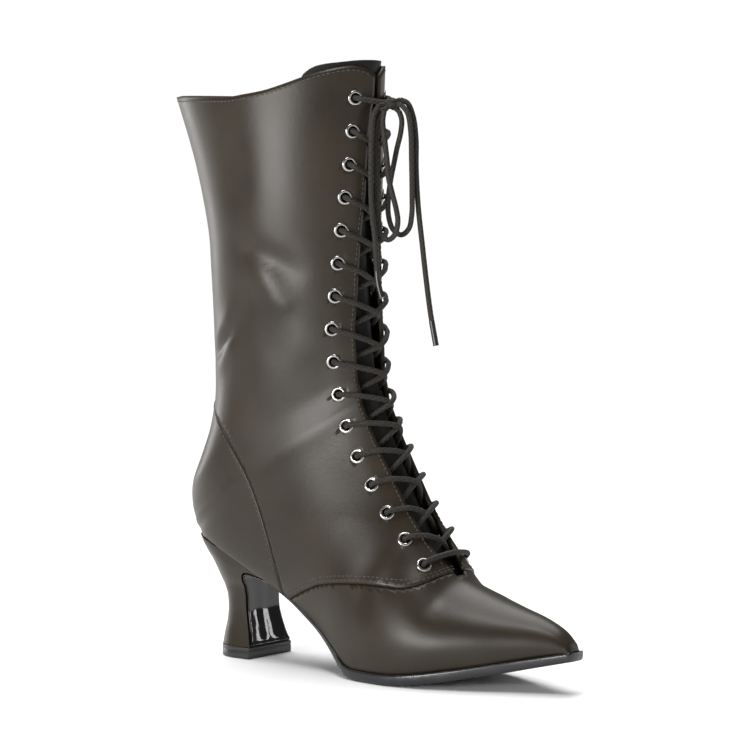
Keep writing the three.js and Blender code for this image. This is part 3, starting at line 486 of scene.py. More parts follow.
def rampOf(tree, source, stops):
    ramp = tree.nodes.new("ShaderNodeValToRGB")
    tree.links.new(source, ramp.inputs["Fac"])
    while len(ramp.color_ramp.elements) < len(stops):
        ramp.color_ramp.elements.new(0.5)
    for element, (at, colour) in zip(ramp.color_ramp.elements, stops):
        element.position = at
        element.color = (*colour, 1)
    return ramp


# a finish with a clouded colour and gloss, and a grain: cells and a finer unevenness, both in turns per metre
def grainedMaterial(name, dark, light, gloss, cloudScale, cellScale, cellDepth, fineScale, fineDepth, **sockets):
    material, tree, shader = newMaterial(name, **sockets)
    place = addNode(tree, "ShaderNodeTexCoord").outputs["Object"]
    cloud = addNode(tree, "ShaderNodeTexNoise", Vector=place, Scale=cloudScale, Detail=3.0, Roughness=0.5)
    colour = rampOf(tree, cloud.outputs["Fac"], [(0.3, dark), (0.72, light)])
    tree.links.new(colour.outputs["Color"], shader.inputs["Base Color"])
    shine = rampOf(tree, cloud.outputs["Fac"], [(0.25, (gloss[0],) * 3), (0.75, (gloss[1],) * 3)])
    tree.links.new(shine.outputs["Color"], shader.inputs["Roughness"])
    cells = addNode(tree, "ShaderNodeTexVoronoi", {"feature": "F1"}, Vector=place, Scale=cellScale)
    fine = addNode(tree, "ShaderNodeTexNoise", Vector=place, Scale=fineScale, Detail=4.0, Roughness=0.6)
    bump = addNode(tree, "ShaderNodeBump", Height=cells.outputs["Distance"], Strength=cellDepth, Distance=0.0004)
    fineBump = addNode(
        tree, "ShaderNodeBump", Height=fine.outputs["Fac"], Normal=bump.outputs["Normal"], Strength=fineDepth,
        Distance=0.0008)
    tree.links.new(fineBump.outputs["Normal"], shader.inputs["Normal"])
    return material


leather = grainedMaterial(
    "leather", (0.0150, 0.0104, 0.0054), (0.0250, 0.0183, 0.0106), (0.33, 0.41), 24.0, 1100.0, 0.05, 380.0, 0.05,
    Specular_IOR_Level=0.3)
# painted shade: the tongue's leather is made near black, far darker than the upper's, for the shade that falls in the
# throat between the facings and under the lace
tonguePaintedShadeLeather = grainedMaterial(
    "tonguePaintedShadeLeather", (0.0042, 0.0037, 0.0034), (0.0080, 0.0070, 0.0062), (0.5, 0.6), 30.0, 1100.0, 0.06, 380.0, 0.06,
    Specular_IOR_Level=0.2)
liningCloth = grainedMaterial(
    "liningCloth", (0.014, 0.012, 0.0105), (0.021, 0.018, 0.016), (0.75, 0.85), 60.0, 1600.0, 0.25, 900.0, 0.1,
    Specular_IOR_Level=0.3)
soleBlack = grainedMaterial(
    "soleBlack", (0.008, 0.008, 0.0095), (0.014, 0.014, 0.0165), (0.24, 0.34), 90.0, 700.0, 0.03, 300.0, 0.12)
patent = grainedMaterial(
    "patent", (0.0018, 0.0018, 0.002), (0.003, 0.003, 0.0035), (0.03, 0.06), 60.0, 140.0, 0.06, 90.0, 0.1,
    Specular_IOR_Level=0.45)
rubber = grainedMaterial(
    "rubber", (0.010, 0.010, 0.011), (0.016, 0.016, 0.0175), (0.34, 0.46), 120.0, 900.0, 0.08, 400.0, 0.1)
nickel = grainedMaterial(
    "nickel", (0.33, 0.325, 0.31), (0.42, 0.41, 0.395), (0.16, 0.28), 400.0, 2500.0, 0.02, 1500.0, 0.04, Metallic=1.0)
plastic = grainedMaterial(
    "plastic", (0.009, 0.0075, 0.0065), (0.018, 0.016, 0.0145), (0.3, 0.36), 200.0, 900.0, 0.02, 700.0, 0.03)
thread = grainedMaterial(
    "thread", (0.032, 0.0255, 0.019), (0.045, 0.036, 0.028), (0.42, 0.5), 300.0, 3000.0, 0.2, 2000.0, 0.2)
cordCloth, cordTree, cordShader = newMaterial(
    "cordCloth", Roughness=0.72, Specular_IOR_Level=0.35, Sheen_Weight=0.05, Sheen_Roughness=0.4)

# the cord's braid, along its own UV map: two sets of slanting ridges
cordUv = addNode(cordTree, "ShaderNodeTexCoord").outputs["UV"]
waves = []
for turn in (1, -1):
    mapped = addNode(cordTree, "ShaderNodeMapping", Vector=cordUv)
    mapped.inputs["Rotation"].default_value = (0, 0, turn * math.radians(40))
    wave = addNode(cordTree, "ShaderNodeTexWave", {"bands_direction": "X"}, Vector=mapped.outputs["Vector"], Scale=1.5)
    waves.append(wave.outputs["Fac"])
braid = addNode(cordTree, "ShaderNodeMath", {"operation": "MAXIMUM"})
cordTree.links.new(waves[0], braid.inputs[0])
cordTree.links.new(waves[1], braid.inputs[1])
# painted shade: the cord's colour is darker in the braid's grooves and lighter on its ridges, following the same height
# as its bump
cordColours = [(0.2, (0.0066, 0.0052, 0.0040)), (0.95, (0.0215, 0.0172, 0.0132))]
cordColour = rampOf(cordTree, braid.outputs["Value"], cordColours)
cordTree.links.new(cordColour.outputs["Color"], cordShader.inputs["Base Color"])
cordBump = addNode(cordTree, "ShaderNodeBump", Height=braid.outputs["Value"], Strength=0.55, Distance=0.0003)
cordTree.links.new(cordBump.outputs["Normal"], cordShader.inputs["Normal"])
print("materials made")

# Upper
upperGrid = {
    "toeRows": 5, "footRows": 34, "instepRows": 76, "legRows": 64, "collarRows": 40,
    "sideColumns": 48, "throatColumns": 3,
}
# how far a lap stands proud in mm, the width over which it rises, and its step at the seam
laps = {"quarter": 0.9, "counter": 1.2, "border": 1.1, "edge": 0.25}
# where the laid skin is smoothed
eased = {
    "heelCup": {"passes": 4, "where": lambda p: p.x < 4 and featherZ(p.x) + 0.3 < p.z < 98},
    "ankleSides": {"passes": 30, "where": lambda p: 15 < p.x < 120 and 88 < p.z < 200 and abs(p.y) > 19},
}
# folds, pressed in or raised along a line of the side view: side, depth mm (+ out), width mm, points (x, z)
folds = [
    (-1, -1.7, 7, [(18, 238), (34, 231), (50, 224), (68, 213)]),
    (-1, 1.5, 7, [(26, 228), (40, 217), (50, 199), (62, 180), (72, 168)]),
    (-1, -1.3, 7, [(16, 214), (30, 201), (42, 183), (52, 163)]),
    (-1, -1.6, 2.6, [(-10, 165), (1, 173), (9, 180.5), (17, 187), (27, 195)]),
    (-1, 0.9, 5, [(-10, 174), (3, 184), (16, 195), (30, 206)]),
    (-1, 0.8, 5, [(-6, 160), (8, 170), (22, 180), (34, 186)]),
    (-1, 0.8, 10, [(43, 168), (49, 145), (57, 124), (70, 104), (84, 90)]),
    (-1, -0.8, 7, [(14, 160), (24, 146), (36, 128), (44, 110)]),
    (-1, -0.7, 9, [(20, 300), (24, 270), (22, 246)]),
    (1, -1.3, 7, [(16, 224), (34, 214), (52, 204), (66, 192)]),
    (1, 1.1, 7, [(20, 206), (38, 196), (54, 180), (66, 166)]),
    (1, -1.4, 3, [(-8, 176), (6, 180), (18, 187), (30, 192)]),
    (1, 0.8, 6, [(40, 168), (48, 150), (54, 130), (66, 112)]),
    (0, -0.5, 7, [(118, 46), (126, 58), (132, 70)]),
    (0, 0.45, 6, [(108, 44), (118, 60), (124, 74)]),
    (0, -0.4, 6, [(146, 34), (150, 48), (152, 60)]),
]


def foldAt(p, side):
    total = 0.0
    for foldSide, depth, width, line in folds:
        if foldSide not in (0, side):
            continue
        best, where = math.inf, 0.0
        for k in range(len(line) - 1):
            ax, az = line[k]
            bx, bz = line[k + 1]
            dx, dz = bx - ax, bz - az
            t = clamp(((p.x - ax) * dx + (p.z - az) * dz) / (dx * dx + dz * dz), 0, 1)
            far = math.hypot(p.x - ax - dx * t, p.z - az - dz * t)
            if far < best:
                best, where = far, (k + t) / (len(line) - 1)
        fade = smooth(where * 3) * smooth((1 - where) * 3)
        total += depth * fade * math.exp(-((best / width) ** 2))
    return total


rowU = (
    [0.0] * upperGrid["toeRows"]
    + [lerp(0, throatStart, k / upperGrid["footRows"]) for k in range(upperGrid["footRows"])]
    + [lerp(throatStart, heelSection, k / upperGrid["instepRows"]) for k in range(upperGrid["instepRows"])]
    + [lerp(heelSection, collarSection, k / upperGrid["legRows"]) for k in range(upperGrid["legRows"])]
)
rowCount = len(rowU) + upperGrid["collarRows"]
columnCount = 2 * (upperGrid["sideColumns"] + upperGrid["throatColumns"])


def columnV(column, u):
    k = column - columnCount // 2
    side = -1 if k < 0 else 1
    edge = throatV(round(max(u, 4.2), 6), side)
    steps = abs(k)
    if steps <= upperGrid["throatColumns"]:
        return side * edge * steps / upperGrid["throatColumns"]
    return side * lerp(edge, 1, (steps - upperGrid["throatColumns"]) / upperGrid["sideColumns"])


@lru_cache(maxsize=None)
def collarU(column):
    low, high = float(collarSection), float(lastSection)
    for _ in range(16):
        mid = (low + high) / 2
        p = skin(mid, columnV(column, mid))
        if p.z < collarHeight(p.x):
            low = mid
        else:
            high = mid
    return low


# the toe's end is snipped: its first rows close it with a shallow cap
def upperPlace(row, column):
    if row < upperGrid["toeRows"]:
        t = row / upperGrid["toeRows"]
        s = sectionAt(0.0)
        v = columnV(column, 0.0)
        middle = Vector((s["bx"], lerp(-s["flatOuter"], s["flatInner"], (v + 1) / 2), s["bz"]))
        return middle.lerp(skin(0.0, v), t) + Vector((1.2 * (1 - t * t), 0, 0))
    if row < len(rowU):
        u = rowU[row]
    else:
        u = lerp(collarSection, collarU(column), (row - len(rowU)) / upperGrid["collarRows"])
    v = columnV(column, u)
    p = skin(u, v)
    return p + skinNormal(u, v) * foldAt(p, -1 if v < 0 else 1)


def makeSkin():
    bm = bmesh.new()
    bmesh.ops.create_grid(bm, x_segments=columnCount, y_segments=rowCount, size=0.5)
    throatMark = bm.faces.layers.int.new("throat")
    for mark in ("hole", "aboveVamp", "behindCounter", "lap"):
        bm.faces.layers.int.new(mark)
    for face in bm.faces:
        middle = face.calc_center_median()
        column = (middle.x + 0.5) * columnCount - columnCount / 2
        row = (middle.y + 0.5) * rowCount
        if abs(column) < upperGrid["throatColumns"] and row > upperGrid["toeRows"] + upperGrid["footRows"]:
            face[throatMark] = 1
    for vert in bm.verts:
        vert.co = upperPlace(round((vert.co.y + 0.5) * rowCount), round((vert.co.x + 0.5) * columnCount))
    bmesh.ops.remove_doubles(bm, verts=bm.verts, dist=0.02)
    bmesh.ops.recalc_face_normals(bm, faces=bm.faces)
    for part in eased.values():
        verts = [v for v in bm.verts if part["where"](v.co) and not v.is_boundary]
        for _ in range(part["passes"]):
            bmesh.ops.smooth_vert(bm, verts=verts, factor=0.5, use_axis_x=True, use_axis_y=True, use_axis_z=True)
    return bm


skinMesh = makeSkin()
fullSkin = BVHTree.FromBMesh(skinMesh)
print("skin laid:", len(skinMesh.faces), "faces")


# the skin's nearest place, and its normal
def skinBelow(point):
    return fullSkin.find_nearest(point)[:2]


throatMark = skinMesh.faces.layers.int["throat"]
bmesh.ops.delete(skinMesh, geom=[f for f in skinMesh.faces if f[throatMark]], context="FACES")

# eyelets stand where the frame's do
eyeletForm = {"each": 16, "hole": 3.0, "steps": 24}
eyelets = {"outer": [], "inner": []}
for side in eyelets:
    for number in range(1, eyeletForm["each"] + 1):
        mesh = nodes[f"eyelet_{side}_{number}"].data
        middle = sum((v.co for v in mesh.vertices), Vector()) / len(mesh.vertices) / mm
        place, normal = skinBelow(middle)
        eyelets[side].append({"at": place, "out": normal})
allEyelets = eyelets["outer"] + eyelets["inner"]


def nearestEyelet(p):
    return min((p - e["at"]).length for e in allEyelets)


seamEnd = {"vamp": 165, "counter": 157}


def aboveVamp(p):
    return p.z - vampLine(p.x) if p.x < seamEnd["vamp"] else -1


def behindCounter(p):
    return counterLine(p.z) - p.x if p.z < seamEnd["counter"] else -1


cutAlong(skinMesh, lambda p: nearestEyelet(p) - eyeletForm["hole"], "hole")
holeMark = skinMesh.faces.layers.int["hole"]
bmesh.ops.delete(skinMesh, geom=[f for f in skinMesh.faces if not f[holeMark]], context="FACES")
cutAlong(skinMesh, aboveVamp, "aboveVamp")
cutAlong(skinMesh, behindCounter, "behindCounter")
cutAlong(skinMesh, lambda p: aboveVamp(p) - laps["border"], "lap", 0.0)
cutAlong(skinMesh, lambda p: behindCounter(p) - laps["border"], "lap", 0.0)
skinMesh.normal_update()


# a lap's edge rises from the piece under it over a pressed border
def lapRise(distance, low, high):
    return lerp(low, high, clamp(distance / laps["border"], 0, 1))


def quarterOff(p):
    return lapRise(aboveVamp(p), laps["edge"], laps["quarter"])


def counterOff(p):
    under = laps["quarter"] if aboveVamp(p) > 0 else 0.0
    return lapRise(behindCounter(p), under, laps["counter"])


shells = {
    "counter": {"off": counterOff, "thick": laps["counter"], "above": None, "behind": 1},
    "quarters": {"off": quarterOff, "thick": laps["quarter"], "above": 1, "behind": 0},
    "vamp": {"off": lambda p: 0.0, "thick": 0.0, "above": 0, "behind": 0},
}
for name, shell in shells.items():
    bm = skinMesh.copy()
    bm.verts.layers.float_vector.new("out")
    out = bm.verts.layers.float_vector["out"]
    above, behind = bm.faces.layers.int["aboveVamp"], bm.faces.layers.int["behindCounter"]
    for vert in bm.verts:
        vert[out] = vert.normal
    spare = [f for f in bm.faces if f[behind] != shell["behind"] or shell["above"] not in (None, f[above])]
    bmesh.ops.delete(bm, geom=spare, context="FACES")
    for vert in bm.verts:
        vert.co += vert[out] * shell["off"](vert.co)
    mesh = meshFrom(bm, name, leather, 50)
    mesh.materials.append(liningCloth)
    piece = newPiece(name, mesh, "leather", "upper")
    wall = piece.modifiers.new("wall", "SOLIDIFY")
    wall.thickness = (last["wall"] + shell["thick"]) * mm
    wall.offset = -1
    wall.use_rim = True
    wall.material_offset = 1
    wall.material_offset_rim = 0
    finished(piece)
    print(name, "made:", len(piece.data.polygons), "faces")

# Stitches
stitch = {
    "length": 2.2, "thick": 0.65, "pitch": 2.75, "vampRows": (1.9, 4.1), "edgeRow": 1.9, "collarRow": 2.3, "jump": 9,
    "vampFrom": 45, "vampTo": 153, "counterFrom": 38, "counterTo": 150,
}
stitchBits = []


# where a line of the side view lies on one side of the boot
def onSide(x, z, side):
    place, normal, _, _ = fullSkin.ray_cast(Vector((x, side * 90, z)), Vector((0, -side, 0)))
    return (place, normal) if place else None


# stitches along spots of the skin; a gap in the line starts it again
def sew(spots, off):
    spots = [s for s in spots if s]
    gone, due = 0.0, stitch["pitch"] / 2
    for (a, na), (b, nb) in zip(spots, spots[1:]):
        step = (b - a).length
        if step > stitch["jump"]:
            gone, due = 0.0, stitch["pitch"] / 2
            continue
        while step and gone + step > due:
            t = (due - gone) / step
            normal = na.lerp(nb, t).normalized()
            along = (b - a).normalized()
            turn = Matrix((along, normal.cross(along), normal)).transposed().to_4x4()
            stitchBits.append(Matrix.Translation(a.lerp(b, t) + normal * off) @ turn)
            due += stitch["pitch"]
        gone += step


def seamSpots(line, steps, side):
    return [onSide(x, z, side) for x, z in (line(k / steps) for k in range(steps + 1))]


def vampX(t):
    return lerp(stitch["vampFrom"], stitch["vampTo"], t)


def counterZ(t):
    return lerp(stitch["counterFrom"], stitch["counterTo"], t)


for side in (-1, 1):
    for lift in stitch["vampRows"]:
        sew(seamSpots(lambda t: (vampX(t), vampLine(vampX(t)) + lift), 420, side), laps["quarter"])
    sew(seamSpots(lambda t: (counterLine(counterZ(t)) - stitch["edgeRow"], counterZ(t)), 300, side), laps["counter"])
    facing = []
    for k in range(300):
        u = lerp(throatStart + 0.5, 23.4, k / 299)
        edge = throatV(round(u, 6), side)
        width = (skin(u, side * (edge + 0.02)) - skin(u, side * edge)).length / 0.02
        v = side * (edge + stitch["edgeRow"] / width)
        facing.append((skin(u, v), skinNormal(u, v)))
    sew([s for s in facing if s[0].z < collarHeight(s[0].x) - 2], laps["quarter"])
    collar = []
    for column in range(columnCount // 2 + upperGrid["throatColumns"] + 2, columnCount + 1):
        column = column if side > 0 else columnCount - column
        u = collarU(column)
        v = columnV(column, u)
        height = (skin(u, v) - skin(u - 0.05, v)).length / 0.05
        u -= stitch["collarRow"] / height
        collar.append((skin(u, v), skinNormal(u, v)))
    sew(collar, laps["quarter"])
bm = bmesh.new()
shape = Matrix.Diagonal((stitch["length"] / 2, stitch["thick"] * 0.6, stitch["thick"] / 2, 1))
lying = Matrix.Rotation(math.pi / 2, 4, "Y")
for place in stitchBits:
    bmesh.ops.create_uvsphere(bm, u_segments=6, v_segments=5, radius=1, matrix=place @ shape @ lying)
newPiece("stitches", meshFrom(bm, "stitches", thread, 80), "leather")
print("stitches sewn:", len(stitchBits))

# Eyelets: a flanged ring with a rolled bore, by radius and height
eyeletProfile = [
    (2.6, -3.1), (2.3, -2.0), (2.3, 0.8), (2.45, 1.28), (2.85, 1.54), (3.35, 1.58), (3.85, 1.38), (4.15, 1.05),
    (4.2, 0.8),
]
for side, row in eyelets.items():
    parts = []
    for eyelet in row:
        bm = bmesh.new()
        line = [bm.verts.new((r, 0, z)) for r, z in eyeletProfile]
        edges = [bm.edges.new(pair) for pair in zip(line, line[1:])]
        bmesh.ops.spin(
            bm, geom=line + edges, cent=(0, 0, 0), axis=(0, 0, 1), angle=2 * math.pi, steps=eyeletForm["steps"],
            use_merge=True)
        bmesh.ops.remove_doubles(bm, verts=bm.verts, dist=0.001)
        bmesh.ops.recalc_face_normals(bm, faces=bm.faces)
        bore = bm.faces[0]
        if bore.normal.dot(bore.calc_center_median()) > 0:
            bmesh.ops.reverse_faces(bm, faces=list(bm.faces))
        turn = Vector((0, 0, 1)).rotation_difference(eyelet["out"]).to_matrix().to_4x4()
        bmesh.ops.transform(bm, matrix=Matrix.Translation(eyelet["at"]) @ turn, verts=bm.verts)
        parts.append(bm)
    mesh = meshFrom(joined(parts), f"eyelets_{side}", nickel, 60)
    newPiece(f"eyelets_{side}", mesh, "nickel", *[f"eyelet_{side}_{n + 1}" for n in range(eyeletForm["each"])])
print("eyelets set")

# Lace: strands that come up through one eyelet, cross the throat and go under the other facing
lace = {
    "diameter": 3.0, "overEyelet": 3.45, "overFacing": 2.85, "underFacing": -4.1, "tuck": 3.5, "cross": 0.75,
    "narrow": 0.26, "crossings": 14,
}
laceRadius = lace["diameter"] / 2
ridge = [(u, sectionAt(round(u, 6))) for u in (lerp(throatStart, lastSection, k / 240) for k in range(241))]


def throatHalfAt(p):
    u, _ = min(ridge, key=lambda r: (r[1]["fx"] - p.x) ** 2 + (r[1]["fz"] - p.z) ** 2)
    return throatHalf(u)


def ridgeOut(k):
    row = eyelets["outer"]
    a, b = row[max(k - 1, 0)]["at"], row[min(k + 1, len(row) - 1)]["at"]
    along = Vector((b.x - a.x, 0, b.z - a.z)).normalized()
    return Vector((along.z, 0, -along.x))


# the skin straight out from a point of a chord, and its normal
def outFrom(point, k):
    out = ridgeOut(k)
    place, normal, _, _ = fullSkin.ray_cast(point - out * 12, out)
    return (place, normal) if place else skinBelow(point)


def leaving(eyelet, aim):
    toward = aim - eyelet["at"]
    toward = (toward - eyelet["out"] * toward.dot(eyelet["out"])).normalized()
    spots = [(-0.2, -2.4), (-0.1, 0.2), (0.35, 2.1), (1.7, lace["overEyelet"] - 0.1), (4.6, lace["overEyelet"])]
    return [eyelet["at"] + toward * far + eyelet["out"] * level for far, level in spots]


def strand(start, end, k, sink):
    def on(t, level=0.0):
        place, normal = outFrom(start["at"].lerp(end["at"], t), k)
        return place + normal * level

    length = (end["at"] - start["at"]).length
    near = far = 0.5
    while near > 0.1 and abs(on(near).y) < throatHalfAt(on(near)):
        near -= 0.02
    while far < 0.9 and abs(on(far).y) < throatHalfAt(on(far)):
        far += 0.02
    points = leaving(start, on(near * 0.75))
    points += [on(near * 0.7, lace["overFacing"] + 0.3), on(near, lace["overFacing"] + 0.2)]
    if throatHalfAt(on(0.5)) > last["throatGap"] * lace["narrow"]:
        under = lace["underFacing"]
        points += [on(0.5, sink - 0.5), on(far, under), on(far + lace["tuck"] / length, under)]
    else:
        points += [on(0.5, sink + 0.4), on(0.5 + 2 / length, sink - 0.4)]
    return cordOn(smoothPath(points, 1.3), laceRadius)


a, b = eyelets["outer"][0], eyelets["inner"][0]
across = [outFrom(a["at"].lerp(b["at"], t), 0) for t in (0.3, 0.5, 0.7)]
across = [place + normal * (lace["overFacing"] + 0.2) for place, normal in across]
barPath = smoothPath(leaving(a, across[0]) + across + leaving(b, across[2])[::-1], 1.3)
parts = [cordOn(barPath, laceRadius)]
for k in range(1, lace["crossings"] + 1):
    high = lace["cross"] if k % 2 else -lace["cross"]
    parts.append(strand(eyelets["outer"][k], eyelets["inner"][k - 1], k, high))
    parts.append(strand(eyelets["inner"][k], eyelets["outer"][k - 1], k, -high))
laceMesh = meshFrom(joined(parts), "lace", cordCloth, 60)
newPiece("lace", laceMesh, "cord", "lace_bar", *[f"lace_cross_{k + 1}" for k in range(lace["crossings"])])

# the bow: a knot, two loops and two ends with moulded tips, along the routes of the part's cords, in mm
knot = {"at": Vector((100, 0, 310.5)), "wide": (2.7, 3.0), "high": 2.1, "turns": 2.4, "steps": 40}
bow = {
    "lace_loop_front": {
        "end": "object", "route": [
            (103.6, 3, 306.5), (105.1, 3.4, 302), (104.6, 3.2, 295), (102.1, 3, 286), (100.1, 3, 278), (98.1, 3, 270),
            (96.4, 3, 260), (96.4, 3, 250), (99.1, 3.4, 242.5), (104.6, 3.8, 239.5), (109.6, 4, 243), (111.6, 4, 251),
            (111.6, 4.2, 262), (111.1, 4.4, 280), (110.6, 4.2, 296), (109.1, 3.4, 305.5), (105.6, 2.6, 309.8)]},
    "lace_loop_side": {
        "end": "object", "route": [
            (100.1, -5.6, 307), (99.4, -6, 301), (100.6, -5.6, 290), (101.6, -5, 280), (102.2, -4.6, 271),
            (104.6, -4.2, 262), (107, -4, 254), (108.2, -4, 247), (106.2, -4, 240), (101.6, -4, 237),
            (97.2, -4.6, 239.5), (95.6, -5, 248), (95.2, -5.4, 262), (95.2, -6, 280), (95.4, -6.6, 294), (96.6, -6.2, 303.5)]},
    "lace_end_inner": {
        "end": "fitting", "route": [
            (103, 4.6, 312.6), (106.1, 7, 311), (109.1, 8.2, 304), (111, 8.4, 292), (111.2, 8.4, 275), (112.6, 8.4, 255),
            (115.6, 8.2, 234), (118.6, 8, 214), (121.6, 8, 196), (125.1, 8, 180)]},
    "lace_end_outer": {
        "end": "fitting", "route": [
            (97.2, -6.4, 309.6), (96.2, -10, 304), (95.6, -11, 292), (95.2, -11, 277), (95, -10.6, 262), (95.4, -10, 250),
            (96.6, -9.6, 240), (97.2, -9, 228), (98.6, -9, 214), (101.1, -9, 206)]},
}
knotPath = []
for k in range(knot["steps"] + 1):
    angle = 2 * math.pi * knot["turns"] * k / knot["steps"]
    swell = 0.55 + 0.45 * math.sin(math.pi * k / knot["steps"])
    x, y = knot["wide"][0] * swell * math.cos(angle), knot["wide"][1] * swell * math.sin(angle)
    knotPath.append(knot["at"] + Vector((x, y, lerp(-knot["high"], knot["high"], k / knot["steps"]))))
parts = [cordOn(smoothPath(knotPath, 1.2), laceRadius)]
for side in eyelets:
    top = eyelets[side][-1]
    parts.append(cordOn(smoothPath(leaving(top, knot["at"]) + [knot["at"].lerp(top["at"], 0.1)], 1.3), laceRadius))
for part in bow.values():
    first, final = Vector(part["route"][0]), Vector(part["route"][-1])
    stubs = [[knot["at"], knot["at"].lerp(first, 0.55), first.lerp(Vector(part["route"][1]), 0.02)]]
    if part["end"] == "object":
        stubs.append([knot["at"], knot["at"].lerp(final, 0.55), final])
    parts += [cordOn(smoothPath(stub, 1.0), laceRadius) for stub in stubs]
newPiece("laceKnot", meshFrom(joined(parts), "laceKnot", cordCloth, 60), "cord", "lace_knot")

tip = {"length": 13, "radius": 1.62}
for name, part in bow.items():
    path = smoothPath([Vector(p) for p in part["route"]], 1.5)
    short = name.removeprefix("lace_")
    piece = newPiece(short, meshFrom(cordOn(path, laceRadius), short, cordCloth, 60), "cord", name)
    if part["end"] == "fitting":
        gone, start = 0.0, len(path) - 1
        while gone < tip["length"]:
            gone += (path[start] - path[start - 1]).length
            start -= 1
        beyond = path[-1] + (path[-1] - path[-2]).normalized() * 0.2
        sleeve = cordOn(path[start:-1] + [beyond], tip["radius"], 12)
        newPiece(f"{short}_tip", meshFrom(sleeve, f"{short}_tip", plastic, 50), "cord")
    print(name, round(pathLength(path)), "mm")

# Tongue
tongue = {
    "thick": 2.0, "wide": 95, "rise": 3, "rows": 90, "columns": 30, "under": 6.15, "topUnder": 2.6, "curl": 1.6,
    "edge": 0.5,
}
tongueWide = curveThrough([(5, 0.3), (6, 0.44), (10, 0.56), (14, 0.62), (19, 0.68), (24, 0.96), (lastSection, 1)])
tongueTop = curveThrough([
    (stationX(at), last["bootHeight"] + tongue["rise"] - drop) for at, drop in (
        (0.3, 24), (0.355, 13), (0.372, 6.5), (0.395, 3), (0.43, 1.2), (0.48, 0), (0.6, 0))
])


def tonguePoint(u, share):
    side = -1 if share < 0 else 1
    goal = abs(share) * tongue["wide"] / 2 * tongueWide(u)
    v, gone, here = 0.0, 0.0, skin(u, 0)
    while gone < goal and v < 0.9:
        ahead = skin(u, side * (v + 0.02))
        step = (ahead - here).length
        if gone + step > goal:
            v += 0.02 * (goal - gone) / step
            break
        gone, here, v = gone + step, ahead, v + 0.02
    depth = lerp(tongue["under"], tongue["topUnder"], smooth((u - (lastSection - 1.6)) / 1.2))
    return skinAt(u, side * v, -depth)


tongueEnds = {}
for column in range(tongue["columns"] + 1):
    share = 2 * column / tongue["columns"] - 1
    low, high = 20.0, lastSection - 0.02
    for _ in range(12):
        mid = (low + high) / 2
        p = tonguePoint(mid, share)
        low, high = (mid, high) if p.z < tongueTop(p.x) else (low, mid)
    tongueEnds[column] = low


def tonguePlace(a, b):
    column = round(a * tongue["columns"])
    u = lerp(throatSection - 0.3, tongueEnds[column], b)
    p = tonguePoint(u, 2 * a - 1)
    lift = tongue["curl"] * smooth((b - 0.94) / 0.06)
    return p + Vector((lift, 0, 0)) + Vector((0, 0, 0.25 * noise.noise(p * 0.06)))


bm = gridOn(tongue["columns"], tongue["rows"], tonguePlace)
sheetPiece(bm, "tongueFlap", tonguePaintedShadeLeather, 50, "leather", "tongue", tongue["thick"], tongue["edge"], 3)
print("tongue hung")

# Outsole: rings across the boot; a profile row is out from the upper's edge, and down as a share of the thickness
outsole = {"ledge": 2.2, "start": 0.275, "rings": 110}
ledgeOut = curveThrough([(0.02, -0.35), (0.3, -0.3), (0.42, 0.15), (0.55, 0.8), (0.66, 1), (0.9, 1), (1, 0.85)])
soleProfile = [
    (-4.0, 0.0), (-0.5, 0.0), (-0.12, 0.07), (0, 0.2), (-0.02, 0.5), (-0.25, 0.75), (-0.8, 0.93), (-1.9, 1.0),
]


def soleRing(x, shrink=0.0):
    top = featherZ(x)
    thick = top - soleBottomZ(x)
    out = outsole["ledge"] * ledgeOut(shareOf(x)) - shrink
    rows = [(out + dy, top - thick * down - (0.3 if down == 0 and dy < -1 else 0)) for dy, down in soleProfile]
    ring = []
    for side, listed in ((1, rows), (-1, rows[::-1])):
        ring += [Vector((x, side * max(planHalf(x, side) + dy, 0.3), z)) for dy, z in listed]
    return ring


tipX = stationX(1) - 0.6
soleStart = stationX(outsole["start"])
rings = []
for k in range(outsole["rings"] + 1):
    at = smooth(k / outsole["rings"]) * 0.25 + 0.75 * k / outsole["rings"]
    rings.append(soleRing(lerp(soleStart, tipX - 1.2, at)))
rings += [soleRing(tipX - 0.5, 0.5), soleRing(tipX, 1.4)]
newPiece("outsoleEdge", meshFrom(skinOver(rings), "outsoleEdge", soleBlack, 45), "sole_edge", "outsole")

# Heel: a waisted block under the seat; widths and back by level, and the breast line, as in the part's source
heel = {
    "liftLength": 29.1, "liftWidth": 37.2, "liftHeight": 6.8, "cover": 1.4, "gap": 0.15, "rows": 90, "side": 16,
    "front": 10, "inset": 0.7, "dish": 0.35, "ripple": 0.2, "fineRipple": 0.02,
}
heelRows = [
    (0.1, -0.495, 0.95), (0.2, -0.464, 0.855), (0.3, -0.412, 0.796), (0.4, -0.394, 0.765), (0.49, -0.409, 0.763),
    (0.59, -0.475, 0.84), (0.645, -0.52, 0.985), (0.706, -0.575, 1.12), (0.794, -0.668, 1.27), (0.882, -0.816, 1.344),
    (0.97, -0.943, 1.376), (1.04, -1.012, 1.387),
]
heelBackX = curveThrough([(last["heelHeight"] * up, heel["liftLength"] * back) for up, back, _ in heelRows])
heelHalf = curveThrough([(last["heelHeight"] * up, heel["liftWidth"] / 2 * half) for up, _, half in heelRows])
breastRows = [
    (0.5, 0.1), (0.46, 0.13), (0.39, 0.24), (0.32, 0.37), (0.3, 0.48), (0.305, 0.59), (0.34, 0.67), (0.41, 0.715),
    (0.52, 0.728), (0.8, 0.7), (1.26, 0.615),
]
breastCurve = smoothPath([Vector((heel["liftLength"] * at, 0, last["heelHeight"] * up)) for at, up in breastRows], 0.8)


def onPath(path, share):
    i = share * (len(path) - 1)
    k = min(int(i), len(path) - 2)
    return path[k].lerp(path[k + 1], i - k)


def heelSide(x, z):
    half = heelHalf(z)
    ahead = x - (heelBackX(z) + half)
    return half if ahead > 0 else math.sqrt(max(half * half - ahead * ahead, 0))


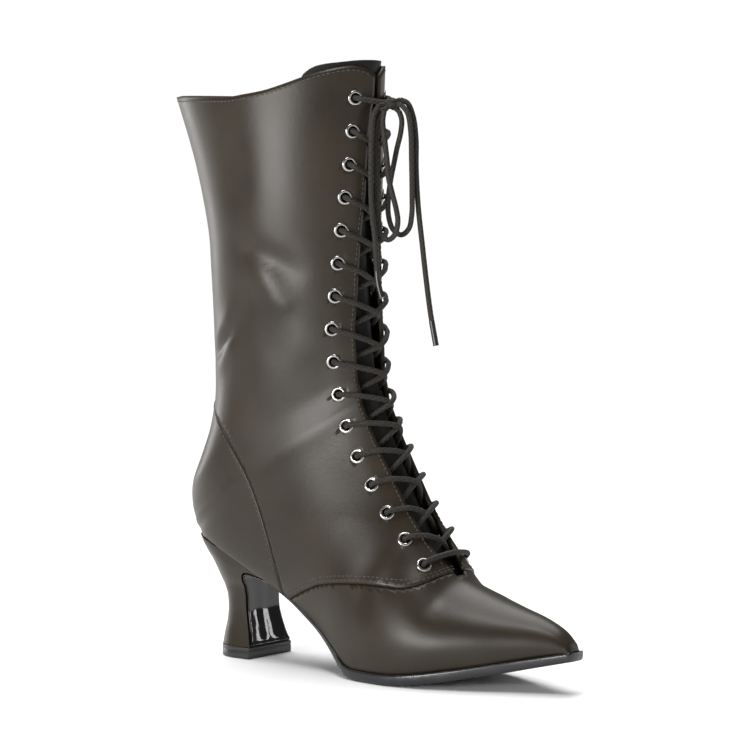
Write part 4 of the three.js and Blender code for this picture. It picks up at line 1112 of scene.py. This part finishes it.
# the outline behind and above the breast: up the back, then forward along the seat
heelTop = []
z = heel["liftHeight"]
while z < featherZ(heelBackX(z)) - heel["gap"]:
    heelTop.append(Vector((heelBackX(z), 0, z)))
    z += 0.5
for k in range(80):
    x = lerp(heelTop[-1].x + 0.2, breastCurve[-1].x, (k + 1) / 80)
    heelTop.append(Vector((x, 0, featherZ(x) - heel["gap"])))


def heelRing(share):
    inner, outer = onPath(breastCurve, share), onPath(heelTop, share)
    line = []
    for k in range(heel["side"] + 1):
        t = 1 - (1 - k / heel["side"]) ** 2
        p = inner.lerp(outer, t)
        line.append((p.x, heelSide(p.x, p.z), p.z))
    ring = [Vector(p) for p in line] + [Vector((x, -y, z)) for x, y, z in line[::-1]]
    x, y, z = line[0]
    return ring + [Vector((x, lerp(-y, y, k / heel["front"]), z)) for k in range(1, heel["front"])]


heelMesh = skinOver([heelRing(k / heel["rows"]) for k in range(heel["rows"] + 1)])
newPiece("heelCover", meshFrom(heelMesh, "heelCover", leather, 50), "leather", "heel_block")


# the breast's patent cover, wrapped a little unevenly
def breastPlace(a, b):
    share = lerp(0.005, 0.995, b)
    p = onPath(breastCurve, share)
    along = (onPath(breastCurve, min(share + 0.01, 1)) - onPath(breastCurve, max(share - 0.01, 0))).normalized()
    out = Vector((along.z, 0, -along.x))
    half = heelSide(p.x, p.z) - heel["inset"]
    across = 2 * a - 1
    ripple = heel["ripple"] * noise.noise(Vector((a * 3.4, b * 0.5, 4.0)))
    ripple += heel["fineRipple"] * noise.noise(Vector((a * 5, b * 3, 1.0)))
    off = heel["gap"] + heel["cover"] - heel["dish"] * (1 - across * across) + ripple * (1 - across ** 6)
    return p + out * off + Vector((0, half * across, 0))


bm = gridOn(36, heel["rows"], breastPlace)
sheetPiece(bm, "breastCover", patent, 60, "patent", "heel_breast", heel["cover"] - 0.6, 0.3, 2)


# Lift: a level slab with a round back and a straight front, in two layers
def liftRing(inset, z):
    half, mid = heel["liftLength"] / 2 - inset, heel["liftWidth"] / 2 - inset
    ring = []
    for k in range(41):
        angle = math.pi / 2 + math.pi * k / 40
        ring.append(Vector((-half + mid + mid * math.cos(angle), mid * math.sin(angle), z)))
    return ring + [Vector((half, lerp(-mid, mid, k / 8), z)) for k in range(9)]


liftRows = [
    (0.6, 0), (0.12, 0.12), (0, 0.5), (0, 4.1), (0.22, 4.3), (0.22, 4.45), (0, 4.65), (0, 6.0), (0.1, 6.35), (0.4, 6.5),
]
liftMesh = skinOver([liftRing(inset, z) for inset, z in liftRows])
newPiece("liftBlock", meshFrom(liftMesh, "liftBlock", rubber, 50), "rubber", "heel_lift")

nodes["insole"].data.materials.clear()
nodes["insole"].data.materials.append(liningCloth)
print("sole and heel made")

# floor and light
studio = {
    "floorHalf": 60.0, "floorColour": (0.92, 0.92, 0.92, 1), "fill": 0.2, "back": 1.0,
    "above": {"strength": 3.1, "angle": 55, "turn": (-14, -16, 0)},
}
bm = bmesh.new()
bmesh.ops.create_grid(bm, x_segments=1, y_segments=1, size=studio["floorHalf"])
floorMesh = bpy.data.meshes.new("floor")
bm.to_mesh(floorMesh)
bm.free()
floor = bpy.data.objects.new("floor", floorMesh)
scene.collection.objects.link(floor)
floorMaterial, _, _ = newMaterial("floor", Base_Color=studio["floorColour"], Roughness=0.9, Specular_IOR_Level=0.0)
floorMesh.materials.append(floorMaterial)


def areaLight(name, place, aim, size, power):
    data = bpy.data.lights.new(name, "AREA")
    data.shape = "RECTANGLE"
    data.size, data.size_y = size
    data.energy = power
    light = bpy.data.objects.new(name, data)
    light.location = place
    light.rotation_euler = (Vector(aim) - Vector(place)).to_track_quat("-Z", "Y").to_euler()
    scene.collection.objects.link(light)
    return light


areaLight("sidePanel", (-0.06, -2.0, 0.32), (0.05, 0, 0.18), (0.9, 0.56), 34)
areaLight("topBox", (0.3, -0.62, 1.75), (0.15, 0, 0.04), (0.45, 0.45), 12)
areaLight("stripBack", (-1.7, 0.2, 0.5), (0, 0, 0.18), (0.3, 1.2), 9)
breastLight = areaLight("breastLight", (0.62, 0.8, 0.2), (0.02, 0, 0.03), (0.06, 0.34), 0.5)
breastLight.visible_camera = False
above = bpy.data.lights.new("above", "SUN")
above.energy = studio["above"]["strength"]
above.angle = math.radians(studio["above"]["angle"])
aboveLight = bpy.data.objects.new("above", above)
aboveLight.rotation_euler = [math.radians(turn) for turn in studio["above"]["turn"]]
scene.collection.objects.link(aboveLight)
world = bpy.data.worlds.new("studio")
scene.world = world
world.use_nodes = True
worldTree = world.node_tree
room = worldTree.nodes["Background"]
room.inputs["Color"].default_value = (1, 1, 1, 1)
room.inputs["Strength"].default_value = studio["fill"]
wall = addNode(worldTree, "ShaderNodeBackground", Color=(1, 1, 1, 1), Strength=studio["back"])
seen = addNode(worldTree, "ShaderNodeLightPath").outputs["Is Camera Ray"]
both = addNode(worldTree, "ShaderNodeMixShader")
worldTree.links.new(seen, both.inputs[0])
worldTree.links.new(room.outputs[0], both.inputs[1])
worldTree.links.new(wall.outputs[0], both.inputs[2])
worldTree.links.new(both.outputs[0], worldTree.nodes["World Output"].inputs["Surface"])
